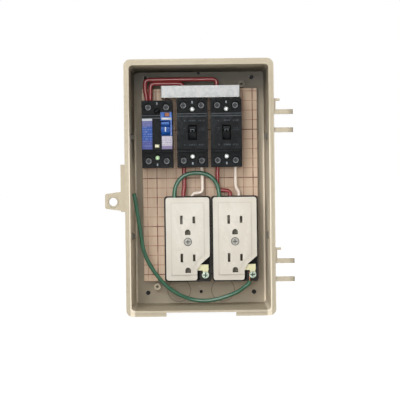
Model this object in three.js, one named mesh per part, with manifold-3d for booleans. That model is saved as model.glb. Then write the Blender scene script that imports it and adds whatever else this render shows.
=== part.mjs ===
// Outdoor breaker-and-receptacle box with its cover lifted off: a moulded enclosure, a mounting board,
// one earth-leakage breaker, two branch breakers, two duplex grounded receptacles and their wiring.
// Units are millimetres. X runs to the right, Z runs up, and the front faces -Y. The origin is the
// centre of the enclosure's rear face. "h" below is a height above a rear face, towards the front.
import * as THREE from 'three';
import { mergeVertices } from 'three/addons/utils/BufferGeometryUtils.js';
import Module from 'manifold-3d';

const wasm = await Module();
wasm.setup();

// ---------------------------------------------------------------- driving dimensions
const GAP = 0.3; // clearance between touching pieces
const PASS = 1; // how far a cutting tool passes its face, and a joined block enters its neighbour

const box = {
  openWidth: 139.6, openHeight: 245.6, depth: 95, wall: 2, floor: 3, taper: 1.8,
  rimWidth: 5.2, rimEnds: 6, rimThick: 3, rimLip: 2.6, lipRise: 1, skirtDepth: 12, skirtThick: 1.7,
  openRadius: 3.5, cordNotchWidth: 70,
  wallHole: { x: 55.5, top: 115, bottom: -110, radius: 2.5 },
  centreHole: { top: 120, bottom: -109.2, radius: 1.8 },
  boss: { radius: 3.75, bore: 1.5, rise: 11, lowIn: 14.2, lowOut: 6, highIn: 15, highOut: 4.6 },
  knockout: { x: 23, z: -107.5, radius: 12, depth: 0.6 },
  lug: { z: [52, -49], h: 50, height: 5, length: 12, stand: 1.8 },
};
const hasp = {
  h: 85.5, thick: 5, reach: 20.1, root: 20.5, tip: 15, z: -12.9, hole: 4.25, holeIn: 8.1,
  holeDrop: 0.6, strip: 47.5, stripWidth: 4.3, chamfer: 1 };
const arm = { h: 85.5, thick: 5, reach: 19.2, height: 4.8, gap: 13.4, pinBore: 1.2, pairs: [65.9, -83.5] };
const stop = { thick: 1.8, rise: 11, foot: 5.8, footHeight: 2.5 };

const board = {
  width: 119.4, height: 199.9, thick: 9, front: 18, x: 0.6, z: 2.95,
  screwX: 32, screwZ: [55, -53], post: 5, hole: 1.8, sinkExtra: 1.1,
};
const crossRecess = { half: 0.45, reach: 2.2 };
const screw = { shank: 1.5, head: 3, sink: 2.2, tip: 5.2, under: 0.4, tipTaper: 1, headEdge: 0.4 };

const breaker = {
  width: 31.5, height: 70, base: 24, shoulder: 38, step: 41, face: 44,
  shoulderInset: 2.2, stepInset: 2.7, wall: 1.8, partition: 1.9, floor: 2, well: 9.8,
  endWall: 1.6, poleInset: 4.75, wellFloor: 9.2, column: 3.2,
  mountOffset: 2.4, mountBore: 1.9, mountRecess: 1.3, skin: 2, stepWall: 1.5, accessGap: 0.6,
  windowWidth: 8.6, windowHeight: 15, ribHalf: 0.6, ribReach: 4, ribDrop: 3, terminalShift: 0.6,
};
const leakageHeight = 68.5; // the earth-leakage breaker is a little shorter than the branch breakers
const row = { gapLeft: 4.4, gapRight: 3.2, leftInset: 0.55, top: 90.8, leakageDrop: 1.65 };

const terminal = {
  wire: 12, plate: 1.2, halfWidth: 3.8, length: 6.8, endGap: 2.2, cheek: 0.8, nut: 2.5, shank: 1.7,
  head: 3.3, headRise: 33, headThick: 2.6, slotDepth: 1.2,
  tongueHalf: 2.4, contact: 1.9, coreSeat: 0.5, coreGap: 0.4, screwPoint: 1.6, padRise: 0.9,
  lineTongue: 9, loadTongue: 3,
};
const toggle = {
  h: 34, drum: 8.8, shaft: 1.6, shaftGap: 0.2, shaftEnd: 0.7, drumSide: 0.2, tilt: 18, leverHalf: 3.4,
  length: 15.8, root: 4.4, tip: 2.6,
};
const contactArm = { z: 3, h: 14.6, bar: 1.9, barEnd: 0.7, halfWidth: 2, thick: 1.2, pad: 1.5 };
const testButton = { inset: 3.65, z: 19.6, width: 4.2, height: 3.4, proud: 0.8 };
const plunger = { flange: 0.9, flangeThick: 1 };
const tripIndicator = { x: -0.1, z: -12.3, width: 4.2, height: 2.8, travel: 1.5, sunk: 0.4 };
const blueToggle = {
  inset: 0.55, z: 5.9, windowWidth: 9.6, windowHeight: 15, leverHalf: 4.2, border: 0.1,
  columnTop: 24.2, sideWall: 1.2, endWall: 1.4,
};
const transformer = { z: -13, outer: 8.5, inner: 5, length: 6, h: 11.5 };
const bimetal = { stand: 2.8, width: 4.5, thick: 0.8, top: 22.5, foot: 5 };

const link = { rise: 1.2, height: 12.4, face: 52, wall: 1.5, endRoom: 3.6 };
const linkBar = { thick: 1, lift: 2.5, height: 5, tongueHalf: 1.5, overrun: 1.6 };

const outlet = {
  baseWidth: 48, baseHeight: 88, base: 22, wall: 1.8, floor: 2, width: 44.7, height: 85.1, face: 28,
  border: 26.8, panelInset: 5.5, skin: 1.4, x: [-13, 35.5], z: -52.8, radius: 2.5, baseRadius: 3,
  bladePitch: 12.7, bladeGap: 2.6, neutralBlade: 9, liveBlade: 7, pair: 39, bladeZ: 19.6,
  ground: 12.6, groundRadius: 2.8, screwZ: -2.9, screwHead: 3.8, post: 3.2,
  notchTop: -17.9, notchMid: -26.1, notchLow: -32, notchX: 9.4, notchElbow: 12.8,
  screwBore: 1.6, boreDepth: 8, entryGap: 0.5, jumperRoom: 1.8, plateShelf: 6, coverWall: 1.6,
  coverBore: 1.9, leastRadius: 0.8, slotDepth: 0.8, screwProud: 0.4,
};
const blade = {
  leaf: 0.6, half: 1.4, top: 19.5, length: 6, strip: 2.2, liveH: 4, neutralH: 9.5, thick: 0.8, tail: 4,
  crossHeight: 4, clampZ: 35, clampHalf: 2.6, clampBelow: 3, clampAbove: 4, rise: 1,
  liveCross: 6, neutralCross: 10,
};
const earth = {
  x: 17.7, z: -37.2, plate: 1, tabLow: -32.6, tabHigh: -26.5, tabLeft: 9.9, head: 3.7,
  headThick: 2.3, slotDepth: 0.9, bore: 2.05, stripH: 14, stripThick: 0.9, half: 2.2, leaf: 1.9,
  clampHalf: 2.5, clampLength: 6, tabReach: 11, eye: 3.5, neck: 2.8,
};

const wire = { radius: 1.85, core: 0.8, h: 12, pairGap: 0.3, clear: 1.5, runGap: 0.35 };
const outletWire = { live: -4.2, neutral: 4.7 };
const greenWire = { radius: 2, jumperH: 20, jumperRise: 24.8, jumperLeft: -13.4, jumperRight: -15.7 };

// The free earth lead's route from its screw to its cut end: x and z from the screw, height from the clamp.
const leadPoints = [
  [-2.9, -6.6, 0], [-4.6, -9.8, -0.3], [-9.1, -13.1, -0.7], [-15.3, -17.6, -1.7], [-27.7, -22.6, -2.7],
  [-40.1, -25.8, -2.7], [-52.5, -26.6, -2.7], [-64.8, -24.5, -2.7], [-77, -19.1, -0.7], [-89.2, -10.2, 1.3],
  [-98.8, 1.3, 4.3], [-106.5, 13.8, 7.3], [-111.3, 26.3, 10.3], [-113.3, 38.7, 13.3], [-115, 51, 16.3],
  [-116.8, 63.3, 19.3], [-118.6, 75.5, 21.3], [-120.1, 84.7, 22.3],
];

// ---------------------------------------------------------------- derived places
const openX = box.openWidth / 2;
const openZ = box.openHeight / 2;
const rimX = openX + box.rimWidth;
const rimZ = openZ + box.rimEnds;
const firstX = board.x - board.width / 2 + row.leftInset + breaker.width / 2;
const secondX = firstX + breaker.width + row.gapLeft;
const breakerX = { leakage: firstX, a: secondX, b: secondX + breaker.width + row.gapRight };
const chamberSide = breaker.width / 2 - breaker.wall;
const poleX = chamberSide - breaker.poleInset;
const rowZ = row.top - breaker.height / 2;
const leakageTop = row.top - row.leakageDrop;
const leakageZ = leakageTop - leakageHeight / 2;
const pairSide = wire.radius + wire.pairGap / 2;
const entryBore = 0.8 * pairSide + wire.core + 0.4;
const toggleX = chamberSide - blueToggle.windowWidth / 2 - blueToggle.inset;
const columnEdge = toggleX - blueToggle.windowWidth / 2 - blueToggle.border;
const postTop = board.front - board.thick - GAP;
const clampSeat = terminal.wire - wire.core - terminal.coreSeat; // where a stripped core rests in any clamp

// ---------------------------------------------------------------- shape helpers
const block = (x0, x1, z0, z1, h0, h1) => new THREE.BoxGeometry(x1 - x0, h1 - h0, z1 - z0)
  .translate((x0 + x1) / 2, -(h0 + h1) / 2, (z0 + z1) / 2);

const rod = (radius, length, sides) => new THREE.CylinderGeometry(radius, radius, length, sides);

const disc = (x, z, radius, h0, h1, sides = 16) => rod(radius, h1 - h0, sides)
  .translate(x, -(h0 + h1) / 2, z);

const crossRod = (x0, x1, h, z, radius, sides = 12) => rod(radius, x1 - x0, sides)
  .rotateZ(Math.PI / 2).translate((x0 + x1) / 2, -h, z);

const uprightRod = (x, h, z0, z1, radius, sides = 8) => rod(radius, z1 - z0, sides)
  .rotateX(Math.PI / 2).translate(x, -h, (z0 + z1) / 2);

// A closed outline in x and z, extruded from height h0 to height h1.
function slab(shape, h0, h1) {
  const settings = { depth: h1 - h0, bevelEnabled: false, curveSegments: 4 };
  return new THREE.ExtrudeGeometry(shape, settings).translate(0, 0, h0).rotateX(Math.PI / 2);
}

// A closed outline given as height and z, extruded along x from x0 to x1.
function sideSlab(shape, x0, x1) {
  const basis = new THREE.Matrix4().makeBasis(
    new THREE.Vector3(0, 0, 1), new THREE.Vector3(0, -1, 0), new THREE.Vector3(1, 0, 0),
  );
  return new THREE.ExtrudeGeometry(shape, { depth: x1 - x0, bevelEnabled: false })
    .translate(0, 0, x0).applyMatrix4(basis);
}

function outline(points) {
  return new THREE.Shape(points.map(([x, z]) => new THREE.Vector2(x, z)));
}

function roundedRectangle(halfX, halfZ, radius) {
  const shape = new THREE.Shape();
  shape.moveTo(halfX, halfZ - radius);
  shape.absarc(halfX - radius, halfZ - radius, radius, 0, Math.PI / 2);
  shape.absarc(-halfX + radius, halfZ - radius, radius, Math.PI / 2, Math.PI);
  shape.absarc(-halfX + radius, -halfZ + radius, radius, Math.PI, 1.5 * Math.PI);
  shape.absarc(halfX - radius, -halfZ + radius, radius, 1.5 * Math.PI, 2 * Math.PI);
  return shape;
}

// A rounded block whose rear end is smaller than its front end by the same amount on every side.
function taperedSlab(halfX, halfZ, radius, h0, h1, taper) {
  const geometry = slab(roundedRectangle(halfX, halfZ, radius), h0, h1);
  const position = geometry.attributes.position;
  for (let i = 0; i < position.count; i += 1) {
    const drawIn = taper * (h1 + position.getY(i)) / (h1 - h0);
    position.setX(i, position.getX(i) * (1 - drawIn / halfX));
    position.setZ(i, position.getZ(i) * (1 - drawIn / halfZ));
  }
  return geometry;
}

// The two cutting blocks of a screw's cross recess.
function crossSlots(x, z, low, top) {
  const { half, reach } = crossRecess;
  return [
    block(x - reach, x + reach, z - half, z + half, low, top),
    block(x - half, x + half, z - reach, z + reach, low, top),
  ];
}

// ---------------------------------------------------------------- solid joins and cuts
function toSolid(geometry) {
  const bare = geometry.clone();
  bare.deleteAttribute('normal');
  bare.deleteAttribute('uv');
  const merged = mergeVertices(bare, 1e-4);
  return new wasm.Manifold(new wasm.Mesh({
    numProp: 3,
    vertProperties: new Float32Array(merged.attributes.position.array),
    triVerts: new Uint32Array(merged.index.array),
  }));
}

function fromSolid(solid) {
  const mesh = solid.getMesh();
  const geometry = new THREE.BufferGeometry();
  geometry.setAttribute('position', new THREE.BufferAttribute(new Float32Array(mesh.vertProperties), 3));
  geometry.setIndex(new THREE.BufferAttribute(new Uint32Array(mesh.triVerts), 1));
  geometry.computeVertexNormals();
  return geometry;
}

const join = (...pieces) => fromSolid(pieces.map(toSolid).reduce((sum, piece) => sum.add(piece)));
const cut = (piece, ...tools) => fromSolid(
  tools.map(toSolid).reduce((rest, tool) => rest.subtract(tool), toSolid(piece)),
);

// ---------------------------------------------------------------- materials
const finish = (color, roughness, metalness = 0) => () => (
  new THREE.MeshStandardMaterial({ color, roughness, metalness })
);
const beigePlastic = finish(0xcdbea8, 0.55);
const plywood = finish(0xb2a090, 0.8);
const blackPlastic = finish(0x30343a, 0.45);
const innerPlastic = finish(0x26282c, 0.6);
const ivoryPlastic = finish(0xe2dace, 0.4);
const whitePlastic = finish(0xc7ced0, 0.4);
const bluePlastic = finish(0x2d5fa5, 0.4);
const orangePlastic = finish(0xb0682a, 0.45);
const creamPlastic = finish(0xc8c6a4, 0.45);
const steel = finish(0xb9bcbe, 0.35, 1);
const brass = finish(0xc2a45a, 0.35, 1);
const copper = finish(0xb87048, 0.35, 1);
const chromated = finish(0xdcd796, 0.35, 1);
const ferrite = finish(0x4a4a48, 0.7);
const redVinyl = finish(0x963a3c, 0.5);
const whiteVinyl = finish(0xf0e1d2, 0.5);
const greenVinyl = finish(0x3c644e, 0.5);

const product = new THREE.Group();

function addMesh(parent, name, geometry, material) {
  const mesh = new THREE.Mesh(geometry, material());
  mesh.name = name;
  parent.add(mesh);
}

function deviceGroup(x, z) {
  const group = new THREE.Group();
  group.position.set(x, -board.front - GAP, z);
  product.add(group);
  return group;
}

// ---------------------------------------------------------------- enclosure
function hingeArm(z) {
  const tipX = rimX + arm.reach - arm.thick / 2;
  const mid = arm.h + arm.thick / 2;
  const low = z - arm.height / 2;
  const high = z + arm.height / 2;
  return {
    solid: [
      block(rimX - 1, tipX, low, high, arm.h, arm.h + arm.thick),
      uprightRod(tipX, mid, low, high, arm.thick / 2, 10),
    ],
    bore: uprightRod(tipX, mid, low - 1, high + 1, arm.pinBore, 6),
  };
}

function liftStop(armTop) {
  const top = armTop + stop.rise;
  return [
    block(rimX - 1, rimX + stop.thick, armTop - 1, top, arm.h, arm.h + arm.thick),
    block(rimX - 1, rimX + stop.foot, top - stop.footHeight, top, arm.h, arm.h + arm.thick),
  ];
}

function haspTab() {
  const root = -rimX + PASS;
  const tip = -rimX - hasp.reach;
  const tab = outline([
    [root, hasp.z - hasp.root / 2], [root, hasp.z + hasp.root / 2],
    [tip + hasp.chamfer, hasp.z + hasp.tip / 2], [tip, hasp.z + hasp.tip / 2 - hasp.chamfer],
    [tip, hasp.z - hasp.tip / 2 + hasp.chamfer], [tip + hasp.chamfer, hasp.z - hasp.tip / 2],
  ]);
  return slab(tab, hasp.h, hasp.h + hasp.thick);
}

function enclosureBody() {
  const back = box.taper;
  const outerX = openX + box.wall;
  const outerZ = openZ + box.wall;
  const lipTop = box.depth;
  const rimTop = box.depth - box.lipRise;
  const skirtBottom = box.depth - box.skirtDepth;
  const shell = taperedSlab(outerX, outerZ, box.openRadius + box.wall, 0, rimTop, back);
  const flange = slab(roundedRectangle(rimX, rimZ, box.openRadius + box.rimWidth - 2), skirtBottom, rimTop);
  const lip = slab(
    roundedRectangle(openX + box.rimLip, openZ + box.rimLip, box.openRadius + box.rimLip), rimTop - 1, lipTop,
  );
  const underFlange = cut(
    slab(
      roundedRectangle(rimX - box.skirtThick, rimZ - box.skirtThick, box.openRadius + 1.5),
      skirtBottom - 1, rimTop - box.rimThick,
    ),
    taperedSlab(outerX, outerZ, box.openRadius + box.wall, 0, rimTop, back),
  );
  const cavity = taperedSlab(openX, openZ, box.openRadius, box.floor, lipTop + 0.01, back);
  const notchHalf = box.cordNotchWidth / 2;
  const cordNotch = block(-notchHalf, notchHalf, -rimZ - 1, -outerZ, skirtBottom - 1, lipTop + 1);

  const solids = [
    flange, lip, haspTab(),
    block(
      -rimX - hasp.stripWidth, -rimX + PASS, -hasp.strip / 2, hasp.strip / 2,
      hasp.h, hasp.h + hasp.thick,
    ),
  ];
  const cuts = [];
  for (const centre of arm.pairs) {
    const offset = (arm.gap + arm.height) / 2;
    for (const z of [centre - offset, centre + offset]) {
      const { solid, bore } = hingeArm(z);
      solids.push(...solid);
      cuts.push(bore);
    }
    solids.push(...liftStop(centre + offset + arm.height / 2));
  }
  cuts.push(disc(-rimX - hasp.reach + hasp.holeIn, hasp.z - hasp.holeDrop, hasp.hole, hasp.h - PASS,
    hasp.h + hasp.thick + PASS, 16));

  const inner = [];
  for (const x of [-board.screwX, board.screwX]) {
    for (const z of board.screwZ) {
      inner.push(disc(board.x + x, z, board.post, box.floor - 1, postTop, 8));
      cuts.push(disc(board.x + x, z, board.hole, box.floor, postTop + 1, 6));
    }
  }
  const bossSpots = [
    [-board.width / 2 + box.boss.lowIn, board.z - board.height / 2 - box.boss.lowOut],
    [board.width / 2 - box.boss.highIn, board.z + board.height / 2 + box.boss.highOut],
  ];
  for (const [x, z] of bossSpots) {
    inner.push(disc(x, z, box.boss.radius, box.floor - 1, box.floor + box.boss.rise, 10));
    cuts.push(disc(x, z, box.boss.bore, box.floor, box.floor + box.boss.rise + 1, 6));
  }
  for (const z of box.lug.z) {
    for (const side of [-1, 1]) {
      const wallX = side * (openX - box.taper / 2);
      const inX = wallX - side * box.lug.stand;
      inner.push(block(Math.min(wallX, inX) - 0.5, Math.max(wallX, inX) + 0.5, z - box.lug.height / 2,
        z + box.lug.height / 2, box.lug.h, box.lug.h + box.lug.length));
    }
  }
  for (const x of [-box.wallHole.x, box.wallHole.x]) {
    for (const z of [box.wallHole.top, box.wallHole.bottom]) {
      cuts.push(disc(x, z, box.wallHole.radius, -1, box.floor + 1, 10));
    }
  }
  for (const z of [box.centreHole.top, box.centreHole.bottom]) {
    cuts.push(disc(0, z, box.centreHole.radius, -1, box.floor + 1, 8));
  }
  for (const x of [-box.knockout.x, box.knockout.x]) {
    const bottom = box.floor - box.knockout.depth;
    cuts.push(disc(x, box.knockout.z, box.knockout.radius, bottom, box.floor + 1, 16));
  }
  const hollow = cut(join(shell, ...solids), cavity, underFlange, cordNotch);
  return cut(join(hollow, ...inner), ...cuts);
}

// ---------------------------------------------------------------- mounting board and its screws
function mountingBoard() {
  const plate = block(board.x - board.width / 2, board.x + board.width / 2, board.z - board.height / 2,
    board.z + board.height / 2, board.front - board.thick, board.front);
  const cuts = [];
  for (const x of [-board.screwX, board.screwX]) {
    for (const z of board.screwZ) {
      cuts.push(disc(board.x + x, z, screw.shank + GAP, board.front - board.thick - 1, board.front + 1, 8));
      const sinkDepth = screw.sink + screw.under + PASS;
      cuts.push(new THREE.CylinderGeometry(screw.shank + GAP, screw.head + board.sinkExtra, sinkDepth, 8)
        .translate(board.x + x, -(board.front + screw.under - sinkDepth / 2), z));
    }
  }
  return cut(plate, ...cuts);
}

// A countersunk screw: its flat head ends just under the board's front, its tip stays inside the post.
function boardScrew() {
  const top = board.front - screw.under;
  const profile = [
    [0, screw.tip - screw.tipTaper], [screw.shank, screw.tip], [screw.shank, top - screw.sink],
    [screw.head, top - screw.headEdge], [screw.head, top], [0, top],
  ].map(([radius, h]) => new THREE.Vector2(radius, h));
  return new THREE.LatheGeometry(profile, 8).rotateX(Math.PI);
}

// ---------------------------------------------------------------- breaker pieces
// The places along a breaker of this height, measured from its middle towards either end.
function breakerLayout(height) {
  const end = height / 2;
  const wellStart = end - breaker.wall - breaker.well;
  const chamber = wellStart - breaker.endWall;
  const shoulderEdge = chamber - breaker.shoulderInset;
  return {
    end, wellStart, chamber, shoulderEdge,
    stepEdge: shoulderEdge - breaker.stepInset,
    mount: chamber + breaker.mountOffset,
    terminal: end - breaker.wall - terminal.endGap - terminal.length / 2 + breaker.terminalShift,
  };
}

function breakerBase(height, poleEnd) {
  const half = breaker.width / 2;
  const { end, wellStart, chamber, mount } = breakerLayout(height);
  const open = breaker.base + PASS;
  const inner = breaker.partition / 2;
  const rooms = [];
  const bores = [];
  for (const side of [-1, 1]) {
    const [x0, x1] = [side * inner, side * chamberSide].sort((a, b) => a - b);
    rooms.push(block(x0, x1, -chamber, chamber, breaker.floor, open));
    for (const way of [-1, 1]) {
      const [z0, z1] = [way * wellStart, way * (end - breaker.wall)].sort((a, b) => a - b);
      rooms.push(block(x0, x1, z0, z1, breaker.wellFloor, open));
      const [s0, s1] = [way * (chamber - PASS / 2), way * (wellStart + PASS / 2)].sort((a, b) => a - b);
      const slotHalf = terminal.tongueHalf + 2 * GAP;
      rooms.push(block(side * poleX - slotHalf, side * poleX + slotHalf, s0, s1, breaker.wellFloor, open));
      const [b0, b1] = [way * (end - breaker.wall - PASS), way * (end + PASS)].sort((a, b) => a - b);
      bores.push(uprightRod(side * poleX, wire.h, b0, b1, entryBore, 8));
    }
    bores.push(disc(0, side * mount, breaker.mountBore, -PASS, open, 6));
    const [r0, r1] = [side * (chamberSide - PASS), side * (chamberSide + PASS)].sort((a, b) => a - b);
    const seat = contactArm.bar + GAP;
    bores.push(block(r0, r1, contactArm.z - seat, contactArm.z + seat, contactArm.h - seat, open));
  }
  const seat = contactArm.bar + GAP;
  bores.push(block(
    -inner - PASS, inner + PASS, contactArm.z - seat, contactArm.z + seat, contactArm.h - seat, open,
  ));
  if (poleEnd) {
    bores.push(block(-inner - PASS, inner + PASS, transformer.z - transformer.length / 2 - GAP,
      transformer.z + transformer.length / 2 + GAP, breaker.floor, open));
  }
  const columns = [-1, 1].map((side) => (
    disc(0, side * mount, breaker.column, breaker.floor - PASS, breaker.base, 8)
  ));
  return cut(join(cut(block(-half, half, -end, end, 0, breaker.base), ...rooms), ...columns), ...bores);
}

// window: the handle's opening; holes: further round or square openings, given as closed solids.
function breakerCover(height, window, holes, ribX, isLeakage) {
  const half = breaker.width / 2;
  const { end, chamber, shoulderEdge, stepEdge, mount, terminal: screwZ } = breakerLayout(height);
  const bottom = breaker.base + GAP;
  const shell = join(
    block(-half, half, -end, end, bottom, breaker.shoulder),
    block(-half, half, -shoulderEdge, shoulderEdge, breaker.shoulder - PASS, breaker.step),
    block(-half, half, -stepEdge, stepEdge, breaker.step - PASS, breaker.face),
  );
  const lowRoom = block(-chamberSide, chamberSide, -chamber, chamber, bottom - PASS,
    breaker.shoulder - breaker.skin);
  const highEdge = stepEdge - breaker.stepWall;
  const highRoom = block(-chamberSide, chamberSide, -highEdge, highEdge, bottom, breaker.face - breaker.skin);
  const column = block(columnEdge, half, 0, blueToggle.columnTop, breaker.shoulder - PASS, breaker.face);
  const columnRoom = block(
    columnEdge + blueToggle.sideWall, chamberSide, 0, blueToggle.columnTop - blueToggle.endWall,
    bottom, breaker.face - breaker.skin,
  );
  const hollow = isLeakage
    ? cut(join(shell, column), lowRoom, highRoom, columnRoom)
    : cut(shell, lowRoom, highRoom);
  const ribLow = toggle.h - breaker.ribDrop;
  const ribs = ribX.map((x) => block(
    x - breaker.ribHalf, x + breaker.ribHalf, window.z - breaker.ribReach, window.z + breaker.ribReach,
    ribLow, breaker.face - PASS,
  ));
  const notch = toggle.shaft + toggle.shaftGap;
  const notches = ribX.map((x) => (
    block(x - PASS, x + PASS, window.z - notch, window.z + notch, ribLow - PASS, toggle.h + notch)
  ));
  const access = [];
  const accessRadius = terminal.head + breaker.accessGap;
  const mountRadius = breaker.mountBore + breaker.mountRecess;
  const above = breaker.shoulder + PASS;
  for (const side of [-1, 1]) {
    for (const way of [-1, 1]) {
      access.push(disc(side * poleX, way * screwZ, accessRadius, bottom - PASS, above, 10));
    }
    access.push(disc(0, side * mount, mountRadius, bottom - PASS, above, 8));
  }
  const opening = block(window.x - window.width / 2, window.x + window.width / 2, window.z - window.height / 2,
    window.z + window.height / 2, breaker.face - breaker.skin - PASS, breaker.face + PASS);
  return cut(join(hollow, ...ribs), ...notches, ...access, opening, ...holes);
}

// A clamp cage with its screw, tongue and contact pad, drawn for the upper end and turned for the lower.
function terminalClamp(height, way, reach) {
  const plateTop = clampSeat;
  const plateLow = plateTop - terminal.plate;
  const screwTip = terminal.wire + wire.core + terminal.coreGap;
  const mid = breakerLayout(height).terminal;
  const z0 = mid - terminal.length / 2;
  const z1 = mid + terminal.length / 2;
  const wide = terminal.halfWidth;
  const nutLow = screwTip + terminal.screwPoint;
  const pad = reach + terminal.contact;
  const pieces = [
    block(-wide, wide, z0, z1, plateLow, plateTop),
    block(-wide, -wide + terminal.cheek, z0, z1, plateLow, nutLow + terminal.nut),
    block(wide - terminal.cheek, wide, z0, z1, plateLow, nutLow + terminal.nut),
    block(-wide, wide, z0, z1, nutLow, nutLow + terminal.nut),
    disc(0, mid, terminal.shank, screwTip, terminal.headRise - PASS, 6),
    disc(0, mid, terminal.head, terminal.headRise - terminal.headThick, terminal.headRise, 10),
    block(-terminal.tongueHalf, terminal.tongueHalf, reach, z0 + PASS, plateLow, plateTop),
    disc(0, pad, terminal.contact, plateTop - PASS / 2, plateTop + terminal.padRise, 6),
  ];
  const slotLow = terminal.headRise - terminal.slotDepth;
  const slotTop = terminal.headRise + PASS;
  const clamp = cut(join(...pieces), ...crossSlots(0, mid, slotLow, slotTop));
  return way > 0 ? clamp : clamp.rotateY(Math.PI);
}

// Handle: a drum on a cross shaft, with a lever that stands out through the cover's window.
function breakerHandle(window, leverHalf, ribX) {
  const lean = THREE.MathUtils.degToRad(toggle.tilt);
  const corner = (across, along) => [
    window.z + along * Math.sin(lean) + across * Math.cos(lean),
    toggle.h + along * Math.cos(lean) - across * Math.sin(lean),
  ];
  const lever = outline([
    corner(-toggle.root / 2, 0), corner(toggle.root / 2, 0),
    corner(toggle.tip / 2, toggle.length), corner(-toggle.tip / 2, toggle.length),
  ]);
  const blade = sideSlab(lever, window.x - leverHalf, window.x + leverHalf);
  const drumHalf = leverHalf + toggle.drumSide;
  const drum = crossRod(window.x - drumHalf, window.x + drumHalf, toggle.h, window.z, toggle.drum, 16);
  const shaft = crossRod(
    ribX[0] - toggle.shaftEnd, ribX[1] + toggle.shaftEnd, toggle.h, window.z, toggle.shaft, 10,
  );
  return join(drum, shaft, blade);
}

// The moving contacts: a cross bar in the base's bearing slots with one arm to each pole's fixed contact.
function breakerContactArm(contactZ) {
  const armStart = contactArm.z + contactArm.bar - PASS;
  const padTop = clampSeat + terminal.padRise;
  const barEnd = chamberSide + contactArm.barEnd;
  const pieces = [crossRod(-barEnd, barEnd, contactArm.h, contactArm.z, contactArm.bar, 10)];
  for (const side of [-1, 1]) {
    const x = side * poleX;
    pieces.push(block(
      x - contactArm.halfWidth, x + contactArm.halfWidth, armStart, contactZ + contactArm.pad,
      contactArm.h - contactArm.thick / 2, contactArm.h + contactArm.thick / 2,
    ));
    pieces.push(disc(x, contactZ, contactArm.pad, padTop + GAP, contactArm.h, 8));
  }
  return join(...pieces);
}

function plungerButton(size, top, bottom) {
  const around = (more, h0, h1) => {
    const wide = size.width / 2 + more;
    const high = size.height / 2 + more;
    return block(size.x - wide, size.x + wide, size.z - high, size.z + high, h0, h1);
  };
  return join(around(0, bottom, top), around(plunger.flange, bottom, bottom + plunger.flangeThick));
}

function buttonHole(size) {
  return block(size.x - size.width / 2 - GAP, size.x + size.width / 2 + GAP, size.z - size.height / 2 - GAP,
    size.z + size.height / 2 + GAP, breaker.face - breaker.skin - 1, breaker.face + 1);
}

function currentTransformer() {
  const { h, z, length, outer, inner } = transformer;
  const ring = uprightRod(0, h, z - length / 2, z + length / 2, outer, 20);
  const hole = uprightRod(0, h, z - length, z + length, inner, 16);
  return cut(ring, hole);
}

// The overcurrent strip stands on the load conductor of the live pole.
function bimetalStrip(tongueTip) {
  const x = -poleX;
  const foot = breaker.floor + GAP;
  const z = bimetal.stand - tongueTip;
  return join(
    block(x - bimetal.width / 2, x + bimetal.width / 2, z, z + bimetal.foot, foot, foot + 1),
    block(x - bimetal.width / 2, x + bimetal.width / 2, z, z + bimetal.thick, foot, bimetal.top),
  );
}

function addBreaker(prefix, x, z, height, isLeakage) {
  const device = deviceGroup(x, z);
  const window = isLeakage
    ? { x: toggleX, z: blueToggle.z, width: blueToggle.windowWidth, height: blueToggle.windowHeight }
    : { x: 0, z: 0, width: breaker.windowWidth, height: breaker.windowHeight };
  const leverHalf = isLeakage ? blueToggle.leverHalf : toggle.leverHalf;
  const ribOffset = window.width / 2 + toggle.shaftEnd;
  const ribX = [window.x - ribOffset, window.x + ribOffset];
  const testSpot = { ...testButton, x: chamberSide - testButton.inset };
  const holes = isLeakage ? [buttonHole(testSpot), buttonHole(tripIndicator)] : [];
  addMesh(device, `${prefix}_base`, breakerBase(height, isLeakage), blackPlastic);
  addMesh(device, `${prefix}_cover`, breakerCover(height, window, holes, ribX, isLeakage), blackPlastic);
  const handleFinish = isLeakage ? bluePlastic : blackPlastic;
  addMesh(device, `${prefix}_handle`, breakerHandle(window, leverHalf, ribX), handleFinish);
  const { chamber } = breakerLayout(height);
  const lineReach = chamber - terminal.lineTongue;
  const loadReach = chamber - terminal.loadTongue;
  addMesh(device, `${prefix}_contact_arm`, breakerContactArm(lineReach + terminal.contact), innerPlastic);
  for (const [end, way, reach] of [['upper', 1, lineReach], ['lower', -1, loadReach]]) {
    for (const [pole, side] of [['left', -1], ['right', 1]]) {
      const clamp = terminalClamp(height, way, reach);
      clamp.translate(side * poleX, 0, 0);
      addMesh(device, `${prefix}_${end}_${pole}_terminal`, clamp, steel);
    }
  }
  if (isLeakage) {
    const inside = breaker.face - breaker.skin - GAP;
    const button = plungerButton(testSpot, breaker.face + testButton.proud, inside - plunger.flangeThick);
    const indicator = plungerButton(
      tripIndicator, breaker.face - tripIndicator.sunk, inside - plunger.flangeThick - tripIndicator.travel,
    );
    addMesh(device, 'test_button', button, orangePlastic);
    addMesh(device, 'trip_indicator', indicator, creamPlastic);
    addMesh(device, 'current_transformer', currentTransformer(), ferrite);
  } else {
    addMesh(device, `${prefix}_bimetal`, bimetalStrip(loadReach), copper);
  }
}

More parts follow.
